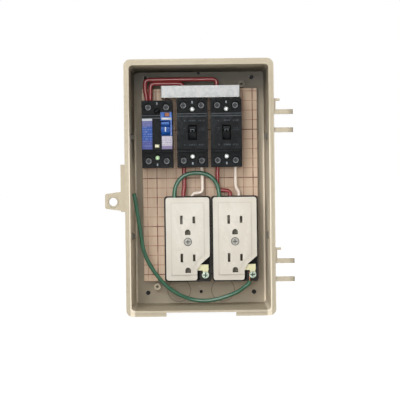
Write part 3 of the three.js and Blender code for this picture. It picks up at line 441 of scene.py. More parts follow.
class Effects:
    """Shader groups that several materials share, each built once."""

    _made: dict[str, bpy.types.NodeTree] = {}

    @classmethod
    def _start(cls, name: str, inputs: tuple[str, ...], outputs: tuple[str, ...]
               ) -> tuple[Graph, list[Socket], bpy.types.Node]:
        """Starts a group with its named sockets: a vector where the name says so, otherwise numbers.

        Args:
            name: The group's name.
            inputs: The name of each input.
            outputs: The name of each output.

        Returns:
            The graph, the sockets that bring the inputs and the output node.
        """
        tree = bpy.data.node_groups.new(name, "ShaderNodeTree")
        for way, labels in (("INPUT", inputs), ("OUTPUT", outputs)):
            for label in labels:
                kind = "NodeSocketVector" if label == "Vector" else "NodeSocketFloat"
                tree.interface.new_socket(name=label, in_out=way, socket_type=kind)
        graph = Graph(tree)
        cls._made[name] = tree
        return graph, graph.node("NodeGroupInput").outputs[:len(inputs)], graph.node("NodeGroupOutput")

    @classmethod
    def mottle(cls) -> bpy.types.NodeTree:
        """Broad clouds with finer flecks in them, for colour and roughness that vary."""
        if "mottle" not in cls._made:
            graph, (place, scale), leave = cls._start("mottle", ("Vector", "Scale"), ("Clouds", "Flecks"))
            clouds = graph.noise(place, scale, 5.0, 0.6)
            flecks = graph.noise(place, graph.times(scale, 9.0), 3.0, 0.7)
            graph.tree.links.new(graph.between(clouds, 0.3, 0.7), leave.inputs[0])
            graph.tree.links.new(graph.between(flecks, 0.35, 0.75), leave.inputs[1])
        return cls._made["mottle"]

    @classmethod
    def grain(cls) -> bpy.types.NodeTree:
        """The fine texture of a moulded or coated surface, as a height."""
        if "grain" not in cls._made:
            graph, (place, scale), leave = cls._start("grain", ("Vector", "Scale"), ("Height",))
            cells = graph.node("ShaderNodeTexVoronoi", {"Vector": place, "Scale": scale}).outputs[0]
            height = graph.math("ADD", graph.times(cells, 0.5), graph.noise(place, scale, 4.0))
            graph.tree.links.new(height, leave.inputs[0])
        return cls._made["grain"]

    @classmethod
    def edge_wear_and_highlight(cls) -> bpy.types.NodeTree:
        """A broken mask along the outer edges, where handling wears them and a painted highlight lies."""
        if "edge_wear_and_highlight" not in cls._made:
            graph, (place, amount), leave = cls._start("edge_wear_and_highlight", ("Vector", "Amount"), ("Mask",))
            geometry = graph.node("ShaderNodeNewGeometry")
            edge = graph.between(geometry.outputs["Pointiness"], 0.52, 0.62)
            patchy = graph.between(graph.noise(place, 260.0, 4.0, 0.7), 0.35, 0.6)
            graph.tree.links.new(graph.times(graph.times(edge, patchy), amount), leave.inputs[0])
        return cls._made["edge_wear_and_highlight"]

    @classmethod
    def ruled_lines(cls) -> bpy.types.NodeTree:
        """A mask of ruled lines at an even pitch along one coordinate."""
        if "ruled_lines" not in cls._made:
            graph, (along, start, pitch, width), leave = cls._start(
                "ruled_lines", ("Coordinate", "Start", "Pitch", "Width"), ("Mask",))
            near = graph.math("PINGPONG", graph.math("SUBTRACT", along, start), graph.times(pitch, 0.5))
            share = graph.math("DIVIDE", near, width)
            graph.tree.links.new(graph.between(share, 0.35, 0.65, 1.0, 0.0), leave.inputs[0])
        return cls._made["ruled_lines"]

    @classmethod
    def small_print(cls) -> bpy.types.NodeTree:
        """A broken mask of short upright marks, like print too small to read."""
        if "small_print" not in cls._made:
            graph, (place, scale, rise, low, high), leave = cls._start(
                "small_print", ("Vector", "Scale", "Rise", "Low", "High"), ("Mask",))
            squash = graph.node("ShaderNodeCombineXYZ", {0: 1.0, 2: rise}).outputs[0]
            drawn = graph.node("ShaderNodeMapping", {"Vector": place, "Scale": squash}).outputs[0]
            graph.tree.links.new(graph.between(graph.noise(drawn, scale, 1.0), low, high), leave.inputs[0])
        return cls._made["small_print"]


@dataclass(frozen=True)
class Finish:
    """A surface finish: two shades that clouds mix, a fine grain, and edge wear with a painted highlight.

    Lengths are in metres and scales are per metre.
    """

    name: str
    colour: Colour
    shade: Colour
    roughness: float
    metallic: float = 0.0
    cloud_scale: float = 40.0
    cloud_share: float = 0.5
    fleck_share: float = 0.15
    grain_scale: float = 1400.0
    grain_height: float = 0.04 * MM
    grain_strength: float = 0.5
    # Edge wear and a painted highlight along the outer edges: their strength, then their colour.
    wear: float = 0.25
    worn_and_lit: Colour = (235, 230, 220)
    coat: float = 0.0
    coat_roughness: float = 0.15
    stretch: Triple = (1.0, 1.0, 1.0)
    shine: float = 0.5
    roughness_swing: Span = (-0.05, 0.08)

    def pattern(self, graph: Graph, place: Socket, base: Socket) -> Socket:
        """Adds this finish's own pattern to its base colour. The plain finish has none.

        Args:
            graph: The material's graph.
            place: The place on the piece, in its own coordinates.
            base: The base colour.

        Returns:
            The patterned colour.
        """
        return base

    def build(self) -> bpy.types.Material:
        """Makes the material, or returns the one already made.

        Returns:
            The material.
        """
        if self.name in bpy.data.materials:
            return bpy.data.materials[self.name]
        material = bpy.data.materials.new(self.name)
        material.use_nodes = True
        material.node_tree.nodes.clear()
        graph = Graph(material.node_tree)
        place = graph.node("ShaderNodeTexCoord").outputs["Object"]
        stretched = graph.node("ShaderNodeMapping", {"Vector": place, "Scale": self.stretch}).outputs[0]
        clouds, flecks = graph.group(Effects.mottle(), stretched, self.cloud_scale)
        share = graph.math("ADD", graph.times(clouds, self.cloud_share),
                           graph.times(flecks, self.fleck_share))
        drawn = self.pattern(graph, place, graph.mix(share, linear(self.colour), linear(self.shade)))
        # Edge wear with a painted highlight on every outer edge.
        rubbed_and_lit = graph.group(Effects.edge_wear_and_highlight(), place, self.wear)[0]
        low, high = (self.roughness + swing for swing in self.roughness_swing)
        height = graph.group(Effects.grain(), stretched, self.grain_scale)[0]
        bump = graph.node("ShaderNodeBump", {
            "Strength": self.grain_strength, "Distance": self.grain_height, "Height": height})
        shader = graph.node("ShaderNodeBsdfPrincipled", {
            "Base Color": graph.tint(drawn, rubbed_and_lit, self.worn_and_lit), "Metallic": self.metallic,
            "Roughness": graph.between(flecks, 0.0, 1.0, low, high), "Specular IOR Level": self.shine,
            "Coat Weight": self.coat, "Coat Roughness": self.coat_roughness, "Normal": bump.outputs[0]})
        graph.node("ShaderNodeOutputMaterial", {"Surface": shader.outputs[0]})
        return material


@dataclass(frozen=True)
class EnclosureFinish(Finish):
    """Beige moulding with darker arm tips, painted shade and shadow inside and painted light on its side
    walls.

    A span is the pair of places between which a shade comes up or fades out.
    """

    tip_span: Span = (88 * MM, 91 * MM)
    tip_share: float = 0.7
    tip_shade: Colour = (150, 140, 120)
    # Painted shade on the back and on the walls just in front of it.
    back_shade_span: Span = (-12 * MM, -4 * MM)
    back_shade_share: float = 0.6
    back_painted_shade: Colour = (150, 138, 120)
    # Painted shadow of the top wall across the upper back inside.
    shadow_height: Span = (82 * MM, 118 * MM)
    shadow_depth: Span = (-88 * MM, -40 * MM)
    shadow_share: float = 0.85
    top_painted_shadow: Colour = (84, 80, 70)
    # Painted light on the inner side walls, strongest low down.
    lit_wall_span: Span = (65.5 * MM, 67 * MM)
    lit_wall_height: Span = (30 * MM, 90 * MM)
    lit_wall_share: float = 0.85
    wall_painted_light: Colour = (236, 224, 202)
    ring_x: float = 23 * MM
    ring_z: float = -107.5 * MM
    ring_radius: float = 12 * MM
    ring_half: float = 0.35 * MM
    ring_soft: float = 0.2 * MM
    ring_depth: Span = (-6 * MM, -3.5 * MM)
    # Painted shade in the knockout grooves.
    ring_painted_shade: Colour = (116, 104, 88)
    lug_heights: Span = (52 * MM, -49 * MM)
    lug_half: float = 3.6 * MM
    lug_soft: float = 1.2 * MM
    lug_side: Triple = (65.5 * MM, 70.5 * MM, 0.5 * MM)
    lug_depth: Triple = (-66 * MM, -47 * MM, 2 * MM)
    # Painted shadows that the lugs cast on the side walls.
    lug_shadow_share: float = 0.9
    lug_painted_shadow: Colour = (38, 32, 25)
    depth: float = 95 * MM
    taper: float = 1.8 * MM
    inner_x: float = 70.8 * MM
    inner_z: float = 123.8 * MM
    inner_back: float = -1.5 * MM
    inner_soft: float = 0.4 * MM
    back_soft: float = 0.5 * MM

    def inside(self, graph: Graph, side: Socket, y: Socket, z: Socket) -> Socket:
        """A mask that is 1 on the inner faces of the tapered walls and of the back, and 0 outside.

        Args:
            graph: The material's graph.
            side: How far a place is from the box's middle, left or right.
            y: Its coordinate along the box's depth.
            z: Its height.

        Returns:
            The mask's socket.
        """
        drawn_in = graph.times(graph.math("ADD", y, self.depth), self.taper / self.depth)
        walls = graph.times(graph.below(graph.math("ADD", side, drawn_in), self.inner_x, self.inner_soft),
                            graph.below(graph.math("ADD", z, drawn_in), self.inner_z, self.inner_soft))
        return graph.times(walls, graph.below(y, self.inner_back, self.back_soft))

    def knockout_rings(self, graph: Graph, side: Socket, y: Socket, z: Socket) -> Socket:
        """A mask that is 1 on the two knockout rings in the back, and 0 elsewhere.

        Args:
            graph: The material's graph.
            side: How far a place is from the box's middle, left or right.
            y: Its coordinate along the box's depth.
            z: Its height.

        Returns:
            The mask's socket.
        """
        from_x = graph.math("SUBTRACT", side, self.ring_x)
        from_z = graph.math("SUBTRACT", z, self.ring_z)
        squares = graph.math("ADD", graph.times(from_x, from_x), graph.times(from_z, from_z))
        ring = graph.window(graph.math("SQRT", squares), self.ring_radius - self.ring_half,
                            self.ring_radius + self.ring_half, self.ring_soft)
        return graph.times(ring, graph.between(y, *self.ring_depth))

    def pattern(self, graph: Graph, place: Socket, base: Socket) -> Socket:
        """Darkens the arm tips; paints shade, shadows and light inside, in the knockout rings and at the
        lugs.

        Args:
            graph: The material's graph.
            place: The place on the piece, in its own coordinates.
            base: The base colour.

        Returns:
            The patterned colour.
        """
        x, y, z = graph.axes(place)
        side = graph.math("ABSOLUTE", x)
        inside = self.inside(graph, side, y, z)
        base = graph.tint(base, graph.between(x, *self.tip_span, 0.0, self.tip_share), self.tip_shade)
        # Painted shade on the back, where little light reaches deep in the box.
        base = graph.tint(base, graph.between(y, *self.back_shade_span, 0.0, self.back_shade_share), self.back_painted_shade)
        # Painted shadow that the top wall casts across the upper back inside.
        upper = graph.times(graph.between(z, *self.shadow_height, 0.0, self.shadow_share),
                            graph.between(y, *self.shadow_depth))
        base = graph.tint(base, graph.times(upper, inside), self.top_painted_shadow)
        # Painted light on the inner side walls, strongest low down.
        wall_light = graph.times(graph.between(side, *self.lit_wall_span),
                            graph.between(z, *self.lit_wall_height, self.lit_wall_share, 0.0))
        base = graph.tint(base, graph.times(wall_light, inside), self.wall_painted_light)
        # Painted shade in the grooves of the two knockout rings.
        base = graph.tint(base, self.knockout_rings(graph, side, y, z), self.ring_painted_shade)
        # Painted shadows that the lugs cast on the side walls.
        at_wall = graph.times(graph.window(side, *self.lug_side), graph.window(y, *self.lug_depth))
        for height in self.lug_heights:
            near = graph.window(z, height - self.lug_half, height + self.lug_half, self.lug_soft)
            base = graph.tint(base, graph.times(at_wall, near), self.lug_painted_shadow, self.lug_shadow_share)
        return base


@dataclass(frozen=True)
class BoardFinish(Finish):
    """Board with long wood grain and a printed grid of fine and heavy lines."""

    line: Colour = (158, 104, 86)
    heavy_line: Colour = (104, 62, 50)
    start_x: float = 5.5 * MM
    start_z: float = 9.9 * MM
    pitch: float = 10 * MM
    heavy_pitch: float = 50 * MM
    width: float = 0.75 * MM
    heavy_width: float = 1.0 * MM
    ink_scale: float = 90.0
    ink_cover: Span = (0.35, 0.85)

    def grid(self, graph: Graph, x: Socket, z: Socket, pitch: float, width: float) -> Socket:
        """A mask of lines both ways at one pitch and width.

        Args:
            graph: The material's graph.
            x: The place's coordinate across.
            z: Its height.
            pitch: How far apart the lines are.
            width: How wide each line is.

        Returns:
            The mask's socket.
        """
        lines = [graph.group(Effects.ruled_lines(), along, start, pitch, width)[0]
                 for along, start in ((x, self.start_x), (z, self.start_z))]
        return graph.math("MAXIMUM", *lines)

    def pattern(self, graph: Graph, place: Socket, base: Socket) -> Socket:
        """Prints the grid, a little uneven where the ink is thin.

        Args:
            graph: The material's graph.
            place: The place on the piece, in its own coordinates.
            base: The base colour.

        Returns:
            The patterned colour.
        """
        x, _, z = graph.axes(place)
        cover = graph.between(graph.noise(place, self.ink_scale, 3.0), 0.3, 0.65, *self.ink_cover)
        fine = self.grid(graph, x, z, self.pitch, self.width)
        base = graph.tint(base, graph.times(fine, cover), self.line)
        heavy = self.grid(graph, x, z, self.heavy_pitch, self.heavy_width)
        return graph.tint(base, graph.times(heavy, cover), self.heavy_line)


@dataclass(frozen=True)
class MetalFinish(Finish):
    """Metal, with tighter clouds and a finer grain than moulded plastic."""

    cloud_scale: float = 160.0
    fleck_share: float = 0.3
    grain_scale: float = 3000.0


@dataclass(frozen=True)
class RecessedFinish(MetalFinish):
    """Metal with painted shade on what lies behind a given front, in its recesses."""

    fleck_share: float = 0.4
    front: float = 0.0
    recess_soft: float = 0.3 * MM
    recess_share: float = 0.9
    recess_painted_shade: Colour = (26, 24, 22)

    def pattern(self, graph: Graph, place: Socket, base: Socket) -> Socket:
        """Paints shade on what lies behind the front.

        Args:
            graph: The material's graph.
            place: The place on the piece, in its own coordinates.
            base: The base colour.

        Returns:
            The patterned colour.
        """
        y = graph.axes(place)[1]
        # Painted shade behind the front, where the recess keeps out the light.
        behind = graph.between(y, self.front, self.front + self.recess_soft, 0.0, self.recess_share)
        return graph.tint(base, behind, self.recess_painted_shade)


@dataclass(frozen=True)
class RimmedFinish(Finish):
    """Moulding with a line of painted shade where its raised panel meets its border."""

    centre: Span = (0.0, 0.0)
    reach: Span = (16.8 * MM, 37 * MM)
    line_width: float = 0.45 * MM
    line_soft: float = 0.3 * MM
    # Painted shade along the step round the panel.
    panel_painted_shade: Colour = (150, 140, 126)
    low_share: float = 0.75
    high_share: float = 0.3
    fade: float = 6 * MM

    def pattern(self, graph: Graph, place: Socket, base: Socket) -> Socket:
        """Paints the shade line round the panel, stronger along its lower edge.

        Args:
            graph: The material's graph.
            place: The place on the piece, in its own coordinates.
            base: The base colour.

        Returns:
            The patterned colour.
        """
        x, _, z = graph.axes(place)
        sides = []
        for along, middle, reach in zip((x, z), self.centre, self.reach):
            off_middle = graph.math("ABSOLUTE", graph.math("SUBTRACT", along, middle))
            sides.append(graph.math("SUBTRACT", off_middle, reach))
        # Painted shade where the panel steps down, stronger low down where less light falls.
        line = graph.window(graph.math("MAXIMUM", *sides), -self.line_width, self.line_width, self.line_soft)
        low = self.centre[1] - self.reach[1]
        strength = graph.between(z, low, low + self.fade, self.low_share, self.high_share)
        return graph.tint(base, graph.times(line, strength), self.panel_painted_shade)


@dataclass(frozen=True)
class BlackFinish(Finish):
    """Black moulding with little gloss, whose edges wear grey and carry a painted highlight."""

    colour: Colour = (10, 12, 14)
    shade: Colour = (7, 9, 11)
    roughness: float = 0.68
    cloud_share: float = 0.3
    fleck_share: float = 0.1
    grain_scale: float = 2600.0
    grain_height: float = 0.02 * MM
    wear: float = 0.4
    worn_and_lit: Colour = (62, 68, 72)
    shine: float = 0.22


@dataclass(frozen=True)
class PrintedFinish(BlackFinish):
    """Black moulding with painted highlights on its step edges and small rows of printed marks on its front.

    A row is its height, its half height and its strength. A column is its left and its right.
    """

    rows: tuple[Triple, ...] = ()
    columns: tuple[Span, ...] = ()
    front: float = 0.0
    front_soft: float = 0.2 * MM
    ink: Colour = (84, 92, 98)
    print_scale: float = 1100.0
    print_rise: float = 0.35
    print_span: Span = (0.46, 0.54)
    row_soft: float = 0.12 * MM
    column_soft: float = 0.3 * MM
    # Heights of the step edges that take painted highlights.
    edges: tuple[float, ...] = ()
    highlight_half: float = 0.35 * MM
    highlight_soft: float = 0.2 * MM
    highlight_share: float = 0.8
    step_painted_highlight: Colour = (104, 110, 114)

    def pattern(self, graph: Graph, place: Socket, base: Socket) -> Socket:
        """Prints each row as a broken line of short marks, then paints highlights on the step edges.

        Args:
            graph: The material's graph.
            place: The place on the piece, in its own coordinates.
            base: The base colour.

        Returns:
            The patterned colour.
        """
        x, y, z = graph.axes(place)
        if self.rows:
            marks = graph.group(Effects.small_print(), place, self.print_scale, self.print_rise,
                                *self.print_span)[0]
            shown = graph.times(marks, graph.below(y, self.front - self.front_soft, self.front_soft))
            printed, *others = (graph.window(x, *column, self.column_soft) for column in self.columns)
            for column in others:
                printed = graph.math("MAXIMUM", printed, column)
            for middle, half, strength in self.rows:
                row = graph.times(graph.window(z, middle - half, middle + half, self.row_soft), printed)
                base = graph.tint(base, graph.times(row, shown), self.ink, strength)
        # Painted highlights on the upward-facing step edges.
        for height in self.edges:
            line = graph.window(z, height - self.highlight_half, height + self.highlight_half, self.highlight_soft)
            base = graph.tint(base, line, self.step_painted_highlight, self.highlight_share)
        return base


@dataclass(frozen=True)
class LabelFinish(Finish):
    """A printed label: bands of colour from its top to its bottom, with ruled marks on some of them.

    A band is the height that it lies below and its colour.
    """

    wear: float = 0.0
    grain_scale: float = 2400.0
    shine: float = 0.25
    bands: tuple[tuple[float, Colour], ...] = ()
    band_soft: float = 0.25 * MM
    marks: Span = (0.0, 0.0)
    mark_pitch: float = 2.4 * MM
    mark_width: float = 1.1 * MM
    mark_soft: float = 0.2 * MM
    mark_share: float = 0.8
    mark_colour: Colour = (104, 120, 176)
    print_scale: float = 900.0
    print_rise: float = 0.3
    print_span: Span = (0.44, 0.56)

    def pattern(self, graph: Graph, place: Socket, base: Socket) -> Socket:
        """Paints the bands, then the marks.

        Args:
            graph: The material's graph.
            place: The place on the piece, in its own coordinates.
            base: The base colour.

        Returns:
            The patterned colour.
        """
        z = graph.axes(place)[2]
        for below, colour in self.bands:
            base = graph.tint(base, graph.below(z, below, self.band_soft), colour)
        lines = graph.group(Effects.ruled_lines(), z, self.marks[0], self.mark_pitch, self.mark_width)[0]
        broken = graph.group(Effects.small_print(), place, self.print_scale, self.print_rise,
                             *self.print_span)[0]
        mask = graph.times(graph.times(lines, broken), graph.window(z, *self.marks, self.mark_soft))
        return graph.tint(base, mask, self.mark_colour, self.mark_share)


class Finishes:
    """Every finish of the box that more than one piece may take."""

    BEIGE = EnclosureFinish("beige_moulding", (183, 172, 149), (172, 160, 138), 0.55, cloud_scale=22,
                            grain_scale=2200, worn_and_lit=(206, 196, 178), shine=0.35)
    BOARD = BoardFinish("printed_board", (214, 190, 166), (196, 170, 146), 0.75, cloud_scale=30,
                        cloud_share=0.7, grain_scale=900, stretch=(6.0, 1.0, 0.6), wear=0.1)
    BLACK = BlackFinish("black_moulding")
    OUTLET_BLACK = BlackFinish("brown_black_moulding", (30, 27, 24), (24, 22, 20), 0.6, worn_and_lit=(84, 80, 74),
                               shine=0.3)
    INNER = Finish("dark_inner_moulding", (36, 38, 42), (28, 30, 33), 0.6, wear=0.2)
    WHITE = Finish("white_moulding", (159, 162, 164), (151, 155, 158), 0.42, cloud_scale=26, coat=0.2,
                   grain_scale=2400, stretch=(0.4, 1.0, 1.0))
    BLUE = Finish("blue_moulding", (24, 84, 166), (16, 62, 136), 0.42, coat=0.1, worn_and_lit=(96, 140, 200),
                  shine=0.35)
    ORANGE = Finish("orange_moulding", (148, 80, 34), (126, 64, 26), 0.5, wear=0.1, shine=0.3)
    CREAM = Finish("cream_moulding", (206, 203, 168), (190, 186, 150), 0.45)
    # A dark fill for painted shade in holes and gaps.
    SHADE_FILL = Finish("painted_shade_fill", (30, 29, 28), (24, 23, 22), 0.75, wear=0.0)
    FERRITE = Finish("sintered_ferrite", (74, 74, 72), (58, 58, 56), 0.7, grain_scale=1200,
                     grain_height=0.1 * MM)
    STEEL = MetalFinish("plated_steel", (196, 199, 202), (150, 153, 158), 0.3, metallic=1.0, cloud_scale=120,
                        stretch=(1.0, 1.0, 3.0), wear=0.4)
    # The terminals' screw slots take painted shade.
    DARK_STEEL = RecessedFinish("shaded_steel", (66, 68, 70), (44, 46, 50), 0.5, metallic=0.45,
                                cloud_scale=300, cloud_share=0.6, wear=0.4, worn_and_lit=(150, 154, 156),
                                front=-51.0 * MM, recess_painted_shade=(14, 14, 15))
    SCREW_RIM = MetalFinish("worn_screw_rim", (150, 154, 156), (104, 108, 112), 0.45, metallic=0.3,
                            cloud_scale=420, cloud_share=0.7, fleck_share=0.4, wear=0.3)
    ZINC = MetalFinish("bright_zinc", (226, 230, 228), (205, 210, 208), 0.42, metallic=0.35, wear=0.4)
    GREEN_ZINC = Finish("green_dot_zinc", (190, 220, 176), (168, 204, 152), 0.42, metallic=0.25,
                        cloud_scale=160, wear=0.3)
    # The cover screw's cross takes painted shade.
    GREY_SCREW = RecessedFinish("grey_screw", (150, 149, 142), (116, 115, 108), 0.45, metallic=0.4,
                                cloud_scale=240, cloud_share=0.6, wear=0.5, worn_and_lit=(206, 206, 200),
                                front=-46.55 * MM, recess_painted_shade=(60, 57, 52))
    # The earth contact's leaves inside the outlet take painted shade.
    CHROMATED = RecessedFinish("yellow_chromate", (204, 200, 166), (190, 184, 142), 0.45, metallic=0.2,
                               cloud_scale=120, cloud_share=0.7, worn_and_lit=(222, 220, 202),
                               front=-40.6 * MM, recess_painted_shade=(58, 48, 32))
    # The earth screw's slot takes painted shade.
    GREEN_SCREW = RecessedFinish("passivated_screw", (158, 170, 156), (96, 112, 98), 0.35, metallic=0.5,
                                 cloud_scale=420, cloud_share=0.8, wear=0.6, worn_and_lit=(222, 228, 220),
                                 front=-45.95 * MM, recess_painted_shade=(30, 40, 34))
    DARK_BRASS = MetalFinish("shaded_brass", (84, 72, 52), (58, 48, 36), 0.5, metallic=0.6, cloud_scale=140)
    COPPER = MetalFinish("bare_copper", (196, 124, 84), (160, 92, 58), 0.32, metallic=1.0,
                         stretch=(3.0, 3.0, 1.0))
    DARK_COPPER = MetalFinish("tarnished_copper", (84, 54, 40), (60, 40, 31), 0.5, metallic=0.5)
    RED = Finish("red_vinyl", (158, 46, 52), (134, 36, 42), 0.4, cloud_scale=60, grain_scale=1800, coat=0.15,
                 stretch=(2.0, 2.0, 0.4), wear=0.1, worn_and_lit=(190, 90, 92))
    WHITE_VINYL = Finish("white_vinyl", (244, 234, 222), (232, 220, 206), 0.4, cloud_scale=60, coat=0.15,
                         stretch=(2.0, 2.0, 0.4), wear=0.1)
    GREEN = Finish("green_vinyl", (28, 78, 54), (21, 62, 43), 0.45, cloud_scale=55, grain_scale=1800,
                   coat=0.1, wear=0.1, worn_and_lit=(84, 128, 106))
    MARK = Finish("white_print", (222, 226, 230), (206, 210, 214), 0.5, wear=0.0)
    GREY_MARK = Finish("grey_print", (138, 146, 152), (122, 130, 136), 0.5, wear=0.0)


# ---------------------------------------------------------------- sub-assemblies


@dataclass(frozen=True)
class Lamp:
    """A soft square lamp that faces the middle of the scene."""

    name: str
    place: Triple
    size: float
    power: float

    def hang(self) -> None:
        """Makes the lamp."""
        data = bpy.data.lights.new(self.name, "AREA")
        data.size = self.size
        data.energy = self.power
        obj = bpy.data.objects.new(self.name, data)
        bpy.context.scene.collection.objects.link(obj)
        obj.location = self.place
        obj.rotation_mode = "QUATERNION"
        obj.rotation_quaternion = (-Vector(self.place)).to_track_quat("-Z", "Y")


@dataclass
class Studio:
    """The pale floor, the soft lights and the camera."""

    distance: float = 1.933
    lens: float = 165.6
    sensor: float = 36.0
    sight: float = 20.0
    pitch: float = 0.00682054
    roll: float = 0.0122
    floor_drop: float = 0.6 * MM
    floor_size: float = 200.0
    floor_paper: Colour = (238, 238, 237)
    floor_glow: float = 0.88
    glow_strength: float = 1.12
    sky_tint: Triple = (0.95, 0.97, 1.0)
    sky_felt: float = 0.22
    sky_seen: float = 1.0
    lamps: tuple[Lamp, ...] = (
        Lamp("key_light", (-0.45, -2.2, 0.7), 0.5, 13.0),
        Lamp("high_light", (-0.3, -1.45, 1.7), 0.9, 18.0),
        Lamp("front_fill", (-0.1, -2.1, 0.1), 0.5, 14.0),
        Lamp("left_fill", (-1.2, -1.9, -0.3), 0.8, 14.0),
        Lamp("back_fill", (0.6, 1.8, 1.0), 1.6, 18.0),
    )

    def build(self) -> None:
        """Makes the camera first, then the floor, the lamps and the surroundings."""
        self.camera()
        self.floor()
        for lamp in self.lamps:
            lamp.hang()
        self.surroundings()

    def camera(self) -> None:
        """Stands the camera straight in front, aimed a little low and rolled a little."""
        data = bpy.data.cameras.new("camera")
        data.lens = self.lens
        data.sensor_width = self.sensor
        data.clip_end = self.sight
        obj = bpy.data.objects.new("camera", data)
        bpy.context.scene.collection.objects.link(obj)
        turn = Matrix.Rotation(math.pi / 2 - self.pitch, 4, "X") @ Matrix.Rotation(-self.roll, 4, "Z")
        obj.matrix_world = Matrix.Translation((0, -self.distance, 0)) @ turn
        bpy.context.scene.camera = obj

    def floor(self) -> None:
        """Lays a wide pale floor that glows a little, so that it meets the surroundings without a line."""
        low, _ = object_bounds()
        bpy.ops.object.select_all(action="DESELECT")
        bpy.ops.mesh.primitive_plane_add(size=self.floor_size, location=(0, 0, low.z - self.floor_drop))
        floor = Bench.settle(bpy.context.active_object, "studio_floor")
        paper = bpy.data.materials.new("studio_paper")
        paper.use_nodes = True
        paper.node_tree.nodes.clear()
        graph = Graph(paper.node_tree)
        matt = graph.node("ShaderNodeBsdfDiffuse", {"Color": linear(self.floor_paper)})
        glow = graph.node("ShaderNodeEmission", {"Color": (1, 1, 1, 1), "Strength": self.glow_strength})
        seen = graph.times(graph.node("ShaderNodeLightPath").outputs["Is Camera Ray"], self.floor_glow)
        both = graph.node("ShaderNodeMixShader", {0: seen, 1: matt.outputs[0], 2: glow.outputs[0]})
        graph.node("ShaderNodeOutputMaterial", {"Surface": both.outputs[0]})
        floor.data.materials.append(paper)
        floor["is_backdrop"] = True

    def surroundings(self) -> None:
        """Surrounds the scene with white that the camera sees brighter than the object does."""
        world = bpy.data.worlds.new("white_surroundings")
        world.use_nodes = True
        world.node_tree.nodes.clear()
        graph = Graph(world.node_tree)
        seen = graph.node("ShaderNodeBackground", {0: (1, 1, 1, 1), 1: self.sky_seen})
        felt = graph.node("ShaderNodeBackground", {0: (*self.sky_tint, 1), 1: self.sky_felt})
        mix = graph.node("ShaderNodeMixShader", {
            0: graph.node("ShaderNodeLightPath").outputs["Is Camera Ray"], 1: felt.outputs[0],
            2: seen.outputs[0]})
        graph.node("ShaderNodeOutputWorld", {0: mix.outputs[0]})
        bpy.context.scene.world = world
        bpy.context.scene.view_settings.view_transform = "Standard"


@dataclass
class Dresser:
    """Gives the frame's own pieces their materials and rounds their edges."""

    nodes: dict[str, bpy.types.Object]
    weld: float = 0.02 * MM

    def clothe(self, name: str, finish: Finish) -> bpy.types.Object:
        """Gives a node a material, and merges its corners so that modifiers see one surface.

        Args:
            name: The node's name.
            finish: Its finish.

        Returns:
            The node's object.
        """
        obj = self.nodes[name]
        obj.data.materials.clear()
        obj.data.materials.append(finish.build())
        Bench.only(obj)
        if obj.data.has_custom_normals:
            bpy.ops.mesh.customdata_custom_splitnormals_clear()
        obj.data.polygons.foreach_set("use_smooth", [True] * len(obj.data.polygons))
        Bench.modifier(obj, "WELD", merge_threshold=self.weld)
        LOG.info("dressed %s with %s", name, finish.name)
        return obj

    def dress(self, name: str, finish: Finish, edge: float, segments: int = 2, angle: float = 50) -> None:
        """Gives a node a material and rounds its edges.

        Args:
            name: The node's name.
            finish: Its finish.
            edge: How far the rounding reaches.
            segments: The rounding's number of faces.
            angle: The least angle, in degrees, that gets rounded.
        """
        obj = self.clothe(name, finish)
        Bench.modifier(obj, "BEVEL", width=edge, segments=segments, limit_method="ANGLE",
                       angle_limit=math.radians(angle), harden_normals=True)
        Bench.modifier(obj, "WEIGHTED_NORMAL", keep_sharp=True)

    def dress_round(self, name: str, finish: Finish, plump: float = 0.3 * MM) -> None:
        """Gives a wire a material and smooths its faceted tube.

        Args:
            name: The node's name.
            finish: Its finish.
            plump: How much thickness the smoothing takes, which is given back.
        """
        obj = self.clothe(name, finish)
        Bench.modifier(obj, "SUBSURF", levels=2, render_levels=2)
        Bench.modifier(obj, "DISPLACE", strength=plump, mid_level=0.0)


